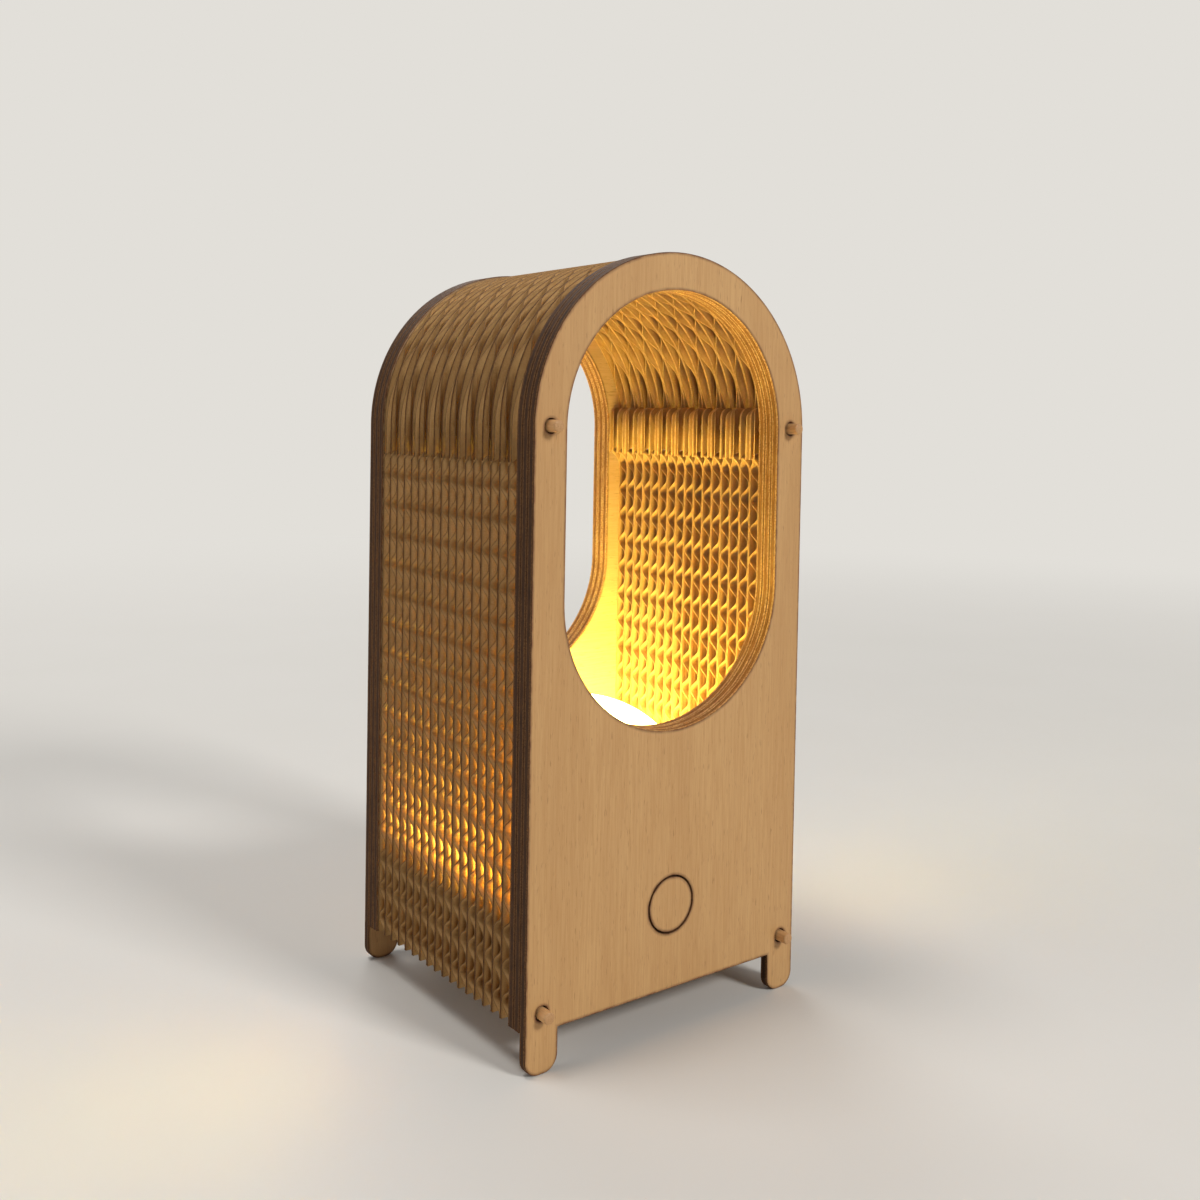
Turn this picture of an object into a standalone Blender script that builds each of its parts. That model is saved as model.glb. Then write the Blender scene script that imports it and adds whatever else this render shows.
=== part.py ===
"""A rechargeable table lamp: corrugated boards stacked between two laminated plywood faces.

Units are metres. X runs across the lamp, Y from its front to its back and Z up. The origin is
on the ground under the middle of the lamp. Four dowels thread the whole stack together, a domed
diffuser glows inside it, and a round wooden button in the front face works the switch.
"""
import math

import bmesh
import bpy

# Overall form, measured on the plywood faces
LAMP_WIDTH = 0.0900
LAMP_HEIGHT = 0.2000
FOOT_HEIGHT = 0.0103
STRIP_WIDTH = 0.0096
PANEL_HEIGHT = 0.0675
ARCH_RADIUS = LAMP_WIDTH / 2
ARCH_CENTRE = LAMP_HEIGHT - ARCH_RADIUS
WINDOW_RADIUS = ARCH_RADIUS - STRIP_WIDTH
WINDOW_BOTTOM = FOOT_HEIGHT + PANEL_HEIGHT
FOOT_FLAT = 0.0016
FOOT_ROUNDING = (STRIP_WIDTH - FOOT_FLAT) / 2

# Sheets, counted and spaced from front to back
PLY_THICKNESS = 0.0024
BOARD_THICKNESS = 0.0039
GLUE_GAP = 0.0001
PLIES_PER_FACE = 3
BOARD_COUNT = 17
PLY_PITCH = PLY_THICKNESS + GLUE_GAP
BOARD_PITCH = BOARD_THICKNESS + GLUE_GAP
CORE_DEPTH = BOARD_COUNT * BOARD_PITCH + GLUE_GAP
STACK_DEPTH = CORE_DEPTH + 2 * (PLIES_PER_FACE * PLY_PITCH - GLUE_GAP)
FRONT = -STACK_DEPTH / 2
BACK = STACK_DEPTH / 2
CORE_FRONT = -CORE_DEPTH / 2
CORE_BACK = CORE_DEPTH / 2

# Dowels and the holes they fill
DOWEL_RADIUS = 0.0015
DOWEL_CLEARANCE = 0.0003
DOWEL_OVERHANG = 0.0034
DOWEL_CHAMFER = 0.0003
UPPER_DOWEL_RISE = 0.0005
LOWER_DOWEL_RISE = 0.0045
DOWEL_X = ARCH_RADIUS - STRIP_WIDTH / 2
UPPER_DOWEL_Z = ARCH_CENTRE + UPPER_DOWEL_RISE
LOWER_DOWEL_Z = FOOT_HEIGHT + LOWER_DOWEL_RISE
DOWEL_HOLE_RADIUS = DOWEL_RADIUS + DOWEL_CLEARANCE

# Corrugated boards: a U whose walls end in round knuckles, and an arch with a socket over each
BOARD_RECESS = 0.0005
WALL_WIDTH = 0.0043
FLOOR_HEIGHT = 0.0096
KNUCKLE_DROP = 0.0113
KNUCKLE_FULLNESS = 0.0003
JOINT_GAP = 0.0005
CORBEL_RADIUS = 0.0055
CORBEL_DROP = 0.0018
BOSS_SETBACK = 0.0006
BOSS_RISE = 0.0062
BOSS_CORNER = 0.0030
FLUTE_PITCH = 0.0084
FLUTE_SLANT = math.radians(1.7)
LINER = 0.0005
FIRST_RIDGE_SHARE = 0.335
BOARD_OUTER = ARCH_RADIUS - BOARD_RECESS
BOARD_INNER = BOARD_OUTER - WALL_WIDTH
BOSS_INNER = WINDOW_RADIUS + BOSS_SETBACK
KNUCKLE_Z = ARCH_CENTRE - KNUCKLE_DROP
KNUCKLE_RADIUS = BOARD_OUTER - DOWEL_X + KNUCKLE_FULLNESS
FLOOR_TOP = FOOT_HEIGHT + FLOOR_HEIGHT

# Tray that carries the electronics, and the lid that is the shelf under the light
SEAT_GAP = 0.0001
FIT_GAP = 0.0003
TRAY_WALL = 0.0016
TRAY_HEIGHT = 0.0149
LID_THICKNESS = 0.0020
TRAY_BOTTOM = FLOOR_TOP + SEAT_GAP
TRAY_FLOOR = TRAY_BOTTOM + TRAY_WALL
TRAY_TOP = TRAY_BOTTOM + TRAY_HEIGHT
LID_BOTTOM = TRAY_TOP + SEAT_GAP
LID_TOP = LID_BOTTOM + LID_THICKNESS
TRAY_WIDTH = 2 * (BOARD_INNER - FIT_GAP)
TRAY_DEPTH = CORE_DEPTH - 2 * FIT_GAP
TRAY_INSIDE = TRAY_WIDTH / 2 - TRAY_WALL

# Tact switch behind the button, on its own small upright board
SWITCH_SIZE = 0.0045
SWITCH_DEPTH = 0.0030
SWITCH_LID_CLEARANCE = 0.00035
SWITCH_SETBACK = 0.0006
SWITCH_BOARD_WIDTH = 0.0120
CIRCUIT_BOARD = 0.0016
PLUNGER_RADIUS = 0.0012
PLUNGER_REACH = 0.0013
PLUNGER_CLEARANCE = 0.00015

# Push button: a disc cut from the front ply, on a turned stem
BUTTON_RADIUS = 0.00715
BUTTON_KERF = 0.00045
BUTTON_TRAVEL = 0.0010
STEM_RADIUS = 0.0020
STEM_CLEARANCE = 0.0003
STEM_HEAD_RADIUS = 0.0050
STEM_HEAD = 0.0010
BUTTON_Z = LID_BOTTOM - SWITCH_LID_CLEARANCE - SWITCH_SIZE / 2
BUTTON_HOLE_RADIUS = BUTTON_RADIUS + BUTTON_KERF
STEM_HOLE_RADIUS = STEM_RADIUS + STEM_CLEARANCE
STEM_FRONT = FRONT + PLY_THICKNESS + SEAT_GAP
TRAY_FRONT = CORE_FRONT + FIT_GAP
SWITCH_FRONT = TRAY_FRONT + TRAY_WALL + SWITCH_SETBACK
PLUNGER_FRONT = SWITCH_FRONT - PLUNGER_REACH
STEM_BACK = PLUNGER_FRONT - SEAT_GAP
PLUNGER_LENGTH = PLUNGER_REACH + BUTTON_TRAVEL
PLUNGER_BORE_DEPTH = PLUNGER_LENGTH - PLUNGER_REACH + BUTTON_TRAVEL + PLUNGER_CLEARANCE
SWITCH_BACK = SWITCH_FRONT + SWITCH_DEPTH

# Charging board, its port and the inlet in the back face
CONTROL_WIDTH = 0.0400
CONTROL_DEPTH = 0.0160
CONTROL_SETBACK = 0.0005
STANDOFF_HEIGHT = 0.0034
STANDOFF_RADIUS = 0.0020
STANDOFF_INSET = 0.0030
PORT_WIDTH = 0.0090
PORT_HEIGHT = 0.0032
PORT_LENGTH = 0.0074
PORT_WALL = 0.0003
PORT_DEPTH = 0.0064
PORT_MOUTH_GAP = 0.00015
TONGUE_WIDTH = 0.0065
TONGUE_THICKNESS = 0.0007
TONGUE_LENGTH = 0.0050
INLET_WIDTH = 0.0126
INLET_HEIGHT = 0.0072
INLET_CORNER = 0.0015
CONTROL_BOTTOM = TRAY_FLOOR + STANDOFF_HEIGHT + SEAT_GAP
CONTROL_TOP = CONTROL_BOTTOM + CIRCUIT_BOARD
TRAY_BACK_INSIDE = CORE_BACK - FIT_GAP - TRAY_WALL
CONTROL_BACK = TRAY_BACK_INSIDE - CONTROL_SETBACK
CONTROL_Y = CONTROL_BACK - CONTROL_DEPTH / 2
PORT_Z = CONTROL_TOP + SEAT_GAP + PORT_HEIGHT / 2
PORT_BACK = CORE_BACK - PORT_MOUTH_GAP

# Rechargeable pouch cell
CELL_DEPTH = 0.0340
CELL_HEIGHT = 0.0080
CELL_ROUNDING = 0.0020
CELL_AISLE = 0.0053
CELL_LEAD_SPACE = 0.0213
CELL_CLEARANCE = 0.0020
CELL_WIDTH = 2 * TRAY_INSIDE - CELL_AISLE - CELL_LEAD_SPACE
CELL_X = (CELL_AISLE - CELL_LEAD_SPACE) / 2
CELL_Y = CONTROL_BACK - CONTROL_DEPTH - CELL_CLEARANCE - CELL_DEPTH / 2

# Light: a board of diodes in a collar, under the domed diffuser
DOME_SIDE_CLEARANCE = 0.00075
DOME_RISE = 0.0310
DOME_WALL = 0.0015
COLLAR_HEIGHT = 0.0106
COLLAR_WALL = 0.0024
LED_BOARD_CLEARANCE = 0.0005
DIODE_SIZE = 0.0028
DIODE_HEIGHT = 0.0008
DIODE_SINK = 0.0002
DIODE_COUNT = 12
DIODE_RING_SHARE = 0.62
DOME_RADIUS = CORE_DEPTH / 2 - DOME_SIDE_CLEARANCE
COLLAR_BOTTOM = LID_TOP + SEAT_GAP
COLLAR_TOP = COLLAR_BOTTOM + COLLAR_HEIGHT
DOME_BASE = COLLAR_TOP + SEAT_GAP
LED_BOARD_RADIUS = DOME_RADIUS - COLLAR_WALL - LED_BOARD_CLEARANCE
LED_BOARD_BOTTOM = LID_TOP + SEAT_GAP

# Leads inside the tray
LEAD_RADIUS = 0.0009
LEAD_GAP = 0.0003
LEAD_HOLE_CLEARANCE = 0.0006
LEAD_LIFT = 0.0030
LEAD_BOW = 0.0040

# Making: overruns of cutters, fineness of round forms and welding
OVERRUN = 0.0020
WELD = 0.000001
ARCH_STEPS = 28
BOARD_ARCH_STEPS = 15
CORNER_STEPS = 4
KNUCKLE_STEPS = 6
CORBEL_STEPS = 3
HOLE_STEPS = 12
BUTTON_STEPS = 28
TURNED_STEPS = 28
DOME_STEPS = 8
LEAD_STEPS = 3
SHARP_ANGLE = math.radians(30)


def clear_scene():
    """Remove whatever the file holds."""
    for thing in list(bpy.data.objects):
        bpy.data.objects.remove(thing)


def new_collection(name):
    """A collection in the scene."""
    group = bpy.data.collections.new(name)
    bpy.context.scene.collection.children.link(group)
    return group


def finish(name, colour, roughness, metallic=0.0):
    """A plain material."""
    made = bpy.data.materials.new(name)
    made.use_nodes = True
    shader = made.node_tree.nodes["Principled BSDF"]
    shader.inputs["Base Color"].default_value = (*colour, 1.0)
    shader.inputs["Roughness"].default_value = roughness
    shader.inputs["Metallic"].default_value = metallic
    return made


clear_scene()
LAMP = new_collection("rechargeable_lamp")
CUTTERS = new_collection("cutters")
PLYWOOD = finish("plywood", (0.74, 0.54, 0.31), 0.55)
CARDBOARD = finish("cardboard", (0.50, 0.33, 0.18), 0.85)
DOWEL_WOOD = finish("dowel_wood", (0.66, 0.44, 0.24), 0.60)
WHITE_PLASTIC = finish("white_plastic", (0.90, 0.88, 0.83), 0.35)
DARK_PLASTIC = finish("dark_plastic", (0.05, 0.05, 0.05), 0.50)
BOARD_GREEN = finish("circuit_board", (0.04, 0.20, 0.09), 0.45)
CELL_FOIL = finish("cell_foil", (0.70, 0.71, 0.73), 0.30, 0.8)
PORT_STEEL = finish("port_steel", (0.62, 0.62, 0.64), 0.25, 1.0)
LEAD_RED = finish("lead_insulation", (0.60, 0.05, 0.04), 0.45)


def weld(mesh):
    """Close a mesh's seams and turn its faces outwards."""
    work = bmesh.new()
    work.from_mesh(mesh)
    bmesh.ops.remove_doubles(work, verts=work.verts, dist=WELD)
    bmesh.ops.recalc_face_normals(work, faces=work.faces)
    work.to_mesh(mesh)
    work.free()


def as_piece(thing, name, material):
    """Give a made object its name, its finish and smooth round faces."""
    thing.name = name
    thing.data.materials.clear()
    thing.data.materials.append(material)
    thing.data.shade_smooth()
    thing.data.set_sharp_from_angle(angle=SHARP_ANGLE)
    return thing


def as_cutter(thing, name):
    """Mark an object as a tool that shapes others."""
    thing.name = name
    thing.hide_render = True
    thing.display_type = "WIRE"
    return thing


def shape(piece, tool, operation):
    """Cut, join or crop a piece with a tool."""
    step = piece.modifiers.new(operation.lower(), "BOOLEAN")
    step.operation = operation
    step.object = tool
    step.solver = "EXACT"


def extruded(loops, thickness, group, turn=(0.0, 0.0, 0.0)):
    """A flat outline, with any holes, given its thickness and made a mesh."""
    curve = bpy.data.curves.new("outline", "CURVE")
    curve.dimensions = "2D"
    curve.fill_mode = "BOTH"
    curve.extrude = thickness / 2
    for loop in loops:
        spline = curve.splines.new("POLY")
        spline.points.add(len(loop) - 1)
        for point, place in zip(spline.points, loop):
            point.co = (place[0], place[1], 0.0, 1.0)
        spline.use_cyclic_u = True
    guide = bpy.data.objects.new("outline", curve)
    guide.rotation_euler = turn
    group.objects.link(guide)
    bpy.context.view_layer.update()
    evaluated = guide.evaluated_get(bpy.context.evaluated_depsgraph_get())
    mesh = bpy.data.meshes.new_from_object(evaluated)
    weld(mesh)
    made = bpy.data.objects.new("extruded", mesh)
    made.matrix_world = guide.matrix_world
    group.objects.link(made)
    bpy.data.objects.remove(guide)
    return made


def upright(loops, thickness, group, y=0.0):
    """An extruded outline that stands in the XZ plane with its middle at y."""
    made = extruded(loops, thickness, group, (math.radians(90), 0.0, 0.0))
    made.location.y = y
    return made


def box(size, centre, group):
    """A block of a given size about a centre."""
    mesh = bpy.data.meshes.new("box")
    work = bmesh.new()
    bmesh.ops.create_cube(work, size=1.0)
    bmesh.ops.scale(work, verts=work.verts, vec=size)
    work.to_mesh(mesh)
    work.free()
    made = bpy.data.objects.new("box", mesh)
    made.location = centre
    group.objects.link(made)
    return made


def cylinder(radius, length, centre, axis, group, steps):
    """A round bar along Y or Z about a centre."""
    mesh = bpy.data.meshes.new("cylinder")
    work = bmesh.new()
    bmesh.ops.create_cone(work, cap_ends=True, segments=steps, radius1=radius, radius2=radius, depth=length)
    work.to_mesh(mesh)
    work.free()
    made = bpy.data.objects.new("cylinder", mesh)
    made.location = centre
    if axis == "Y":
        made.rotation_euler.x = math.radians(90)
    group.objects.link(made)
    return made


def turned(profile, closed, group, turn=(0.0, 0.0, 0.0)):
    """A profile of (radius, height) points, run down its outer side and turned about Z."""
    mesh = bpy.data.meshes.new("turned")
    work = bmesh.new()
    corners = [work.verts.new((radius, 0.0, height)) for radius, height in profile]
    for first, second in zip(corners, corners[1:]):
        work.edges.new((first, second))
    if closed:
        work.edges.new((corners[-1], corners[0]))
    work.to_mesh(mesh)
    work.free()
    made = bpy.data.objects.new("turned", mesh)
    made.rotation_euler = turn
    group.objects.link(made)
    screw = made.modifiers.new("turn", "SCREW")
    screw.axis = "Z"
    screw.steps = TURNED_STEPS
    screw.render_steps = TURNED_STEPS
    screw.use_merge_vertices = True
    screw.merge_threshold = WELD
    screw.use_smooth_shade = True
    return made


def chamfer(piece, width, segments=1):
    """Ease the sharp edges of a piece."""
    step = piece.modifiers.new("chamfer", "BEVEL")
    step.width = width
    step.segments = segments
    step.limit_method = "ANGLE"
    step.angle_limit = math.radians(60)


def lead(name, places, material, group):
    """A short insulated lead along a smoothed run of places."""
    curve = bpy.data.curves.new(name, "CURVE")
    curve.dimensions = "3D"
    curve.bevel_depth = LEAD_RADIUS
    curve.bevel_resolution = 1
    curve.use_fill_caps = True
    curve.resolution_u = LEAD_STEPS
    curve.render_resolution_u = LEAD_STEPS
    spline = curve.splines.new("NURBS")
    spline.points.add(len(places) - 1)
    for point, place in zip(spline.points, places):
        point.co = (*place, 1.0)
    spline.order_u = 4
    spline.use_endpoint_u = True
    made = bpy.data.objects.new(name, curve)
    made.data.materials.append(material)
    group.objects.link(made)
    return made


def arc(centre, radius, start, end, steps):
    """Points of an arc from a start to an end angle in degrees, both ends included."""
    points = []
    for step in range(steps + 1):
        angle = math.radians(start + (end - start) * step / steps)
        points.append((centre[0] + radius * math.cos(angle), centre[1] + radius * math.sin(angle)))
    return points


def circle(centre, radius, steps):
    """Points round a full circle."""
    return arc(centre, radius, 0, 360, steps)[:-1]


def rounded_slot(centre, width, height, corner):
    """A slot with rounded corners, or with round ends where the corner is half its height."""
    reach_x = width / 2 - corner
    reach_z = height / 2 - corner
    points = []
    for start, side_x, side_z in ((0, 1, 1), (90, -1, 1), (180, -1, -1), (270, 1, -1)):
        middle = (centre[0] + side_x * reach_x, centre[1] + side_z * reach_z)
        points += arc(middle, corner, start, start + 90, CORNER_STEPS)
    return without_repeats(points)


def without_repeats(points):
    """A closed run of points with each that lies on the one before it left out."""
    before = [points[-1]] + points
    return [point for last, point in zip(before, points) if math.dist(last, point) > WELD]


def window_loop():
    """The tall round-ended window, concentric with the arch."""
    over = arc((0.0, ARCH_CENTRE), WINDOW_RADIUS, 0, 180, ARCH_STEPS)
    under = arc((0.0, WINDOW_BOTTOM + WINDOW_RADIUS), WINDOW_RADIUS, 180, 360, ARCH_STEPS)
    return over + under


def frame_loop():
    """A ply's outline, square at the bottom and round at the top."""
    over = arc((0.0, ARCH_CENTRE), ARCH_RADIUS, 0, 180, ARCH_STEPS)
    return [(ARCH_RADIUS, FOOT_HEIGHT)] + over + [(-ARCH_RADIUS, FOOT_HEIGHT)]


def footed_loop():
    """The outermost ply's outline, which runs down into two round-ended feet."""
    inner_x = ARCH_RADIUS - STRIP_WIDTH
    over = arc((0.0, ARCH_CENTRE), ARCH_RADIUS, 0, 180, ARCH_STEPS)
    right_foot = foot_end(ARCH_RADIUS - STRIP_WIDTH / 2)
    left_foot = foot_end(STRIP_WIDTH / 2 - ARCH_RADIUS)
    return [(-inner_x, FOOT_HEIGHT), (inner_x, FOOT_HEIGHT)] + right_foot + over + left_foot


def foot_end(x):
    """A foot's rounded end, with the narrow flat that it stands on."""
    reach = FOOT_FLAT / 2
    left_side = arc((x - reach, FOOT_ROUNDING), FOOT_ROUNDING, 180, 270, CORNER_STEPS)
    right_side = arc((x + reach, FOOT_ROUNDING), FOOT_ROUNDING, 270, 360, CORNER_STEPS)
    return left_side + right_side


def dowel_places():
    """Where the four dowels cross the stack."""
    return {
        "upper_left": (-DOWEL_X, UPPER_DOWEL_Z),
        "upper_right": (DOWEL_X, UPPER_DOWEL_Z),
        "lower_left": (-DOWEL_X, LOWER_DOWEL_Z),
        "lower_right": (DOWEL_X, LOWER_DOWEL_Z),
    }


def dowel_holes(level):
    """The two holes for the upper or for the lower dowels."""
    places = dowel_places()
    sides = (places[f"{level}_left"], places[f"{level}_right"])
    return [circle(place, DOWEL_HOLE_RADIUS, HOLE_STEPS) for place in sides]


def plywood_faces():
    """Three plies in front and three behind, pierced for the window, dowels, button and inlet."""
    holes = dowel_holes("upper") + dowel_holes("lower")
    button_hole = circle((0.0, BUTTON_Z), BUTTON_HOLE_RADIUS, BUTTON_STEPS)
    stem_hole = circle((0.0, BUTTON_Z), STEM_HOLE_RADIUS, HOLE_STEPS)
    inlet = rounded_slot((0.0, PORT_Z), INLET_WIDTH, INLET_HEIGHT, INLET_CORNER)
    plies = (
        ("front_plate", footed_loop(), button_hole),
        ("front_frame_middle", frame_loop(), button_hole),
        ("front_frame_inner", frame_loop(), stem_hole),
        ("back_plate", footed_loop(), inlet),
        ("back_frame_middle", frame_loop(), inlet),
        ("back_frame_inner", frame_loop(), inlet),
    )
    for number, (name, outline, opening) in enumerate(plies):
        depth = number % PLIES_PER_FACE * PLY_PITCH + PLY_THICKNESS / 2
        y = FRONT + depth if number < PLIES_PER_FACE else BACK - depth
        ply = upright([outline, window_loop(), opening] + holes, PLY_THICKNESS, LAMP, y)
        as_piece(ply, name, PLYWOOD)


def mirrored(points):
    """A run of points on the other side of the lamp, in the opposite order."""
    return [(-x, z) for x, z in reversed(points)]


def meeting(first, first_radius, second, second_radius):
    """The upper of the two angles, on each of two circles, where they cross."""
    apart = math.dist(first, second)
    lean = math.degrees(math.atan2(second[1] - first[1], second[0] - first[0]))
    along = (first_radius ** 2 - second_radius ** 2 + apart ** 2) / (2 * apart)
    first_angle = math.degrees(math.acos(along / first_radius))
    second_angle = math.degrees(math.acos((apart - along) / second_radius))
    return lean + first_angle, lean + 180 - second_angle


def u_board_loop():
    """The lower board: a band under the tray, and two walls that end in round knuckles. A
    corbel swells each wall's inner side out to the knuckle."""
    knuckle = (DOWEL_X, KNUCKLE_Z)
    corbel = (BOARD_INNER - CORBEL_RADIUS, KNUCKLE_Z - CORBEL_DROP)
    start = math.degrees(math.acos((BOARD_OUTER - DOWEL_X) / KNUCKLE_RADIUS))
    corbel_end, knuckle_end = meeting(corbel, CORBEL_RADIUS, knuckle, KNUCKLE_RADIUS)
    wall = arc(knuckle, KNUCKLE_RADIUS, start, knuckle_end, KNUCKLE_STEPS)
    wall += arc(corbel, CORBEL_RADIUS, corbel_end, 0, CORBEL_STEPS)[1:]
    right_side = [(BOARD_OUTER, FOOT_HEIGHT)] + wall + [(BOARD_INNER, FLOOR_TOP)]
    return right_side + mirrored(right_side)


def arch_board_loop():
    """The upper board: the arch, with a rounded boss about each upper dowel and a socket in
    the bottom of each boss."""
    centre = (0.0, ARCH_CENTRE)
    meet = math.degrees(math.asin(BOSS_RISE / BOARD_INNER))
    radius = KNUCKLE_RADIUS + JOINT_GAP
    start = 180 - math.degrees(math.acos((DOWEL_X - BOSS_INNER) / radius))
    end = math.degrees(math.acos((BOARD_OUTER - DOWEL_X) / radius))
    corner = (BOSS_INNER + BOSS_CORNER, ARCH_CENTRE + BOSS_RISE - BOSS_CORNER)
    boss = arc(corner, BOSS_CORNER, 90, 180, CORNER_STEPS)
    boss += arc((DOWEL_X, KNUCKLE_Z), radius, start, end, KNUCKLE_STEPS)
    over = arc(centre, BOARD_OUTER, 0, 180, BOARD_ARCH_STEPS)
    under = arc(centre, BOARD_INNER, 180 - meet, meet, BOARD_ARCH_STEPS)
    return over + mirrored(boss) + under + boss


def fluted_board(first, last, length, turn):
    """A board with a flat liner behind and ridges in front, running along its length."""
    half = BOARD_THICKNESS / 2
    points = [(last * FLUTE_PITCH, half), (first * FLUTE_PITCH, half)]
    for step in range(2 * first, 2 * last + 1):
        depth = -half if step % 2 == 0 else half - LINER
        points.append((step * FLUTE_PITCH / 2, depth))
    return extruded([points], length, CUTTERS, turn)


def corrugated_core():
    """Two stacks of boards: flutes run across in the U and upright in the arch."""
    crop_depth = CORE_DEPTH + 2 * OVERRUN
    u_loops = [u_board_loop()] + dowel_holes("lower")
    arch_loops = [arch_board_loop()] + dowel_holes("upper")
    u_crop = as_cutter(upright(u_loops, crop_depth, CUTTERS), "u_crop")
    arch_crop = as_cutter(upright(arch_loops, crop_depth, CUTTERS), "arch_crop")
    waves_down = math.ceil((KNUCKLE_Z - FOOT_HEIGHT) / FLUTE_PITCH) + 1
    waves_across = math.ceil(BOARD_OUTER / FLUTE_PITCH) + 1
    u_length = 2 * (BOARD_OUTER + OVERRUN)
    arch_length = 2 * (KNUCKLE_DROP + ARCH_RADIUS + OVERRUN)
    u_sheet = fluted_board(-waves_down, 1, u_length, (0.0, math.radians(-90) - FLUTE_SLANT, 0.0))
    arch_sheet = fluted_board(-waves_across, waves_across, arch_length, (0.0, 0.0, 0.0))
    first_ridge = KNUCKLE_Z + FIRST_RIDGE_SHARE * FLUTE_PITCH
    for number in range(BOARD_COUNT):
        y = CORE_FRONT + GLUE_GAP + BOARD_THICKNESS / 2 + number * BOARD_PITCH
        shift = FLUTE_PITCH / 2 * (number % 2)
        kinds = (
            ("u_layer", u_sheet, (0.0, y, first_ridge), u_crop),
            ("arch_layer", arch_sheet, (shift, y, ARCH_CENTRE), arch_crop),
        )
        for kind, sheet, place, crop in kinds:
            layer = bpy.data.objects.new(kind, sheet.data.copy())
            layer.rotation_euler = sheet.rotation_euler
            layer.location = place
            LAMP.objects.link(layer)
            as_piece(layer, f"{kind}_{number + 1:02d}", CARDBOARD)
            shape(layer, crop, "INTERSECT")
    bpy.data.objects.remove(u_sheet)
    bpy.data.objects.remove(arch_sheet)


def dowels():
    """Four bars through the whole stack, standing a little proud at both ends."""
    length = STACK_DEPTH + 2 * DOWEL_OVERHANG
    for name, (x, z) in dowel_places().items():
        bar = cylinder(DOWEL_RADIUS, length, (x, 0.0, z), "Y", LAMP, HOLE_STEPS)
        chamfer(as_piece(bar, f"dowel_{name}", DOWEL_WOOD), DOWEL_CHAMFER)


def push_button():
    """The disc, its stem and the switch plunger, which slide back together."""
    slide = bpy.data.objects.new("button_slide", None)
    slide.location = (0.0, FRONT, BUTTON_Z)
    LAMP.objects.link(slide)
    disc_y = PLY_THICKNESS / 2
    disc = cylinder(BUTTON_RADIUS, PLY_THICKNESS, (0.0, disc_y, 0.0), "Y", LAMP, BUTTON_STEPS)
    as_piece(disc, "button_disc", PLYWOOD)
    length = STEM_BACK - STEM_FRONT
    profile = [
        (0.0, length), (STEM_HEAD_RADIUS, length), (STEM_HEAD_RADIUS, length - STEM_HEAD),
        (STEM_RADIUS, length - STEM_HEAD), (STEM_RADIUS, 0.0), (0.0, 0.0),
    ]
    stem = turned(profile, False, LAMP, (math.radians(90), 0.0, 0.0))
    stem.location.y = STEM_BACK - FRONT
    as_piece(stem, "button_stem", WHITE_PLASTIC)
    plunger_y = PLUNGER_FRONT + PLUNGER_LENGTH / 2 - FRONT
    plunger = cylinder(PLUNGER_RADIUS, PLUNGER_LENGTH, (0.0, plunger_y, 0.0), "Y", LAMP, HOLE_STEPS)
    as_piece(plunger, "switch_plunger", DARK_PLASTIC)
    for piece in (disc, stem, plunger):
        piece.parent = slide


def switch():
    """The switch housing with its plunger bore, and the upright board that carries it."""
    middle = (SWITCH_FRONT + SWITCH_BACK) / 2
    body = box((SWITCH_SIZE, SWITCH_DEPTH, SWITCH_SIZE), (0.0, middle, BUTTON_Z), LAMP)
    as_piece(body, "switch_body", DARK_PLASTIC)
    bore_length = PLUNGER_BORE_DEPTH + OVERRUN
    bore_y = SWITCH_FRONT + PLUNGER_BORE_DEPTH - bore_length / 2
    bore_radius = PLUNGER_RADIUS + PLUNGER_CLEARANCE
    bore = cylinder(bore_radius, bore_length, (0.0, bore_y, BUTTON_Z), "Y", CUTTERS, HOLE_STEPS)
    shape(body, as_cutter(bore, "plunger_bore"), "DIFFERENCE")
    bottom = TRAY_FLOOR + SEAT_GAP
    top = LID_BOTTOM - FIT_GAP
    board_size = (SWITCH_BOARD_WIDTH, CIRCUIT_BOARD, top - bottom)
    board_y = SWITCH_BACK + SEAT_GAP + CIRCUIT_BOARD / 2
    board = box(board_size, (0.0, board_y, (bottom + top) / 2), LAMP)
    as_piece(board, "switch_board", BOARD_GREEN)


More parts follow.
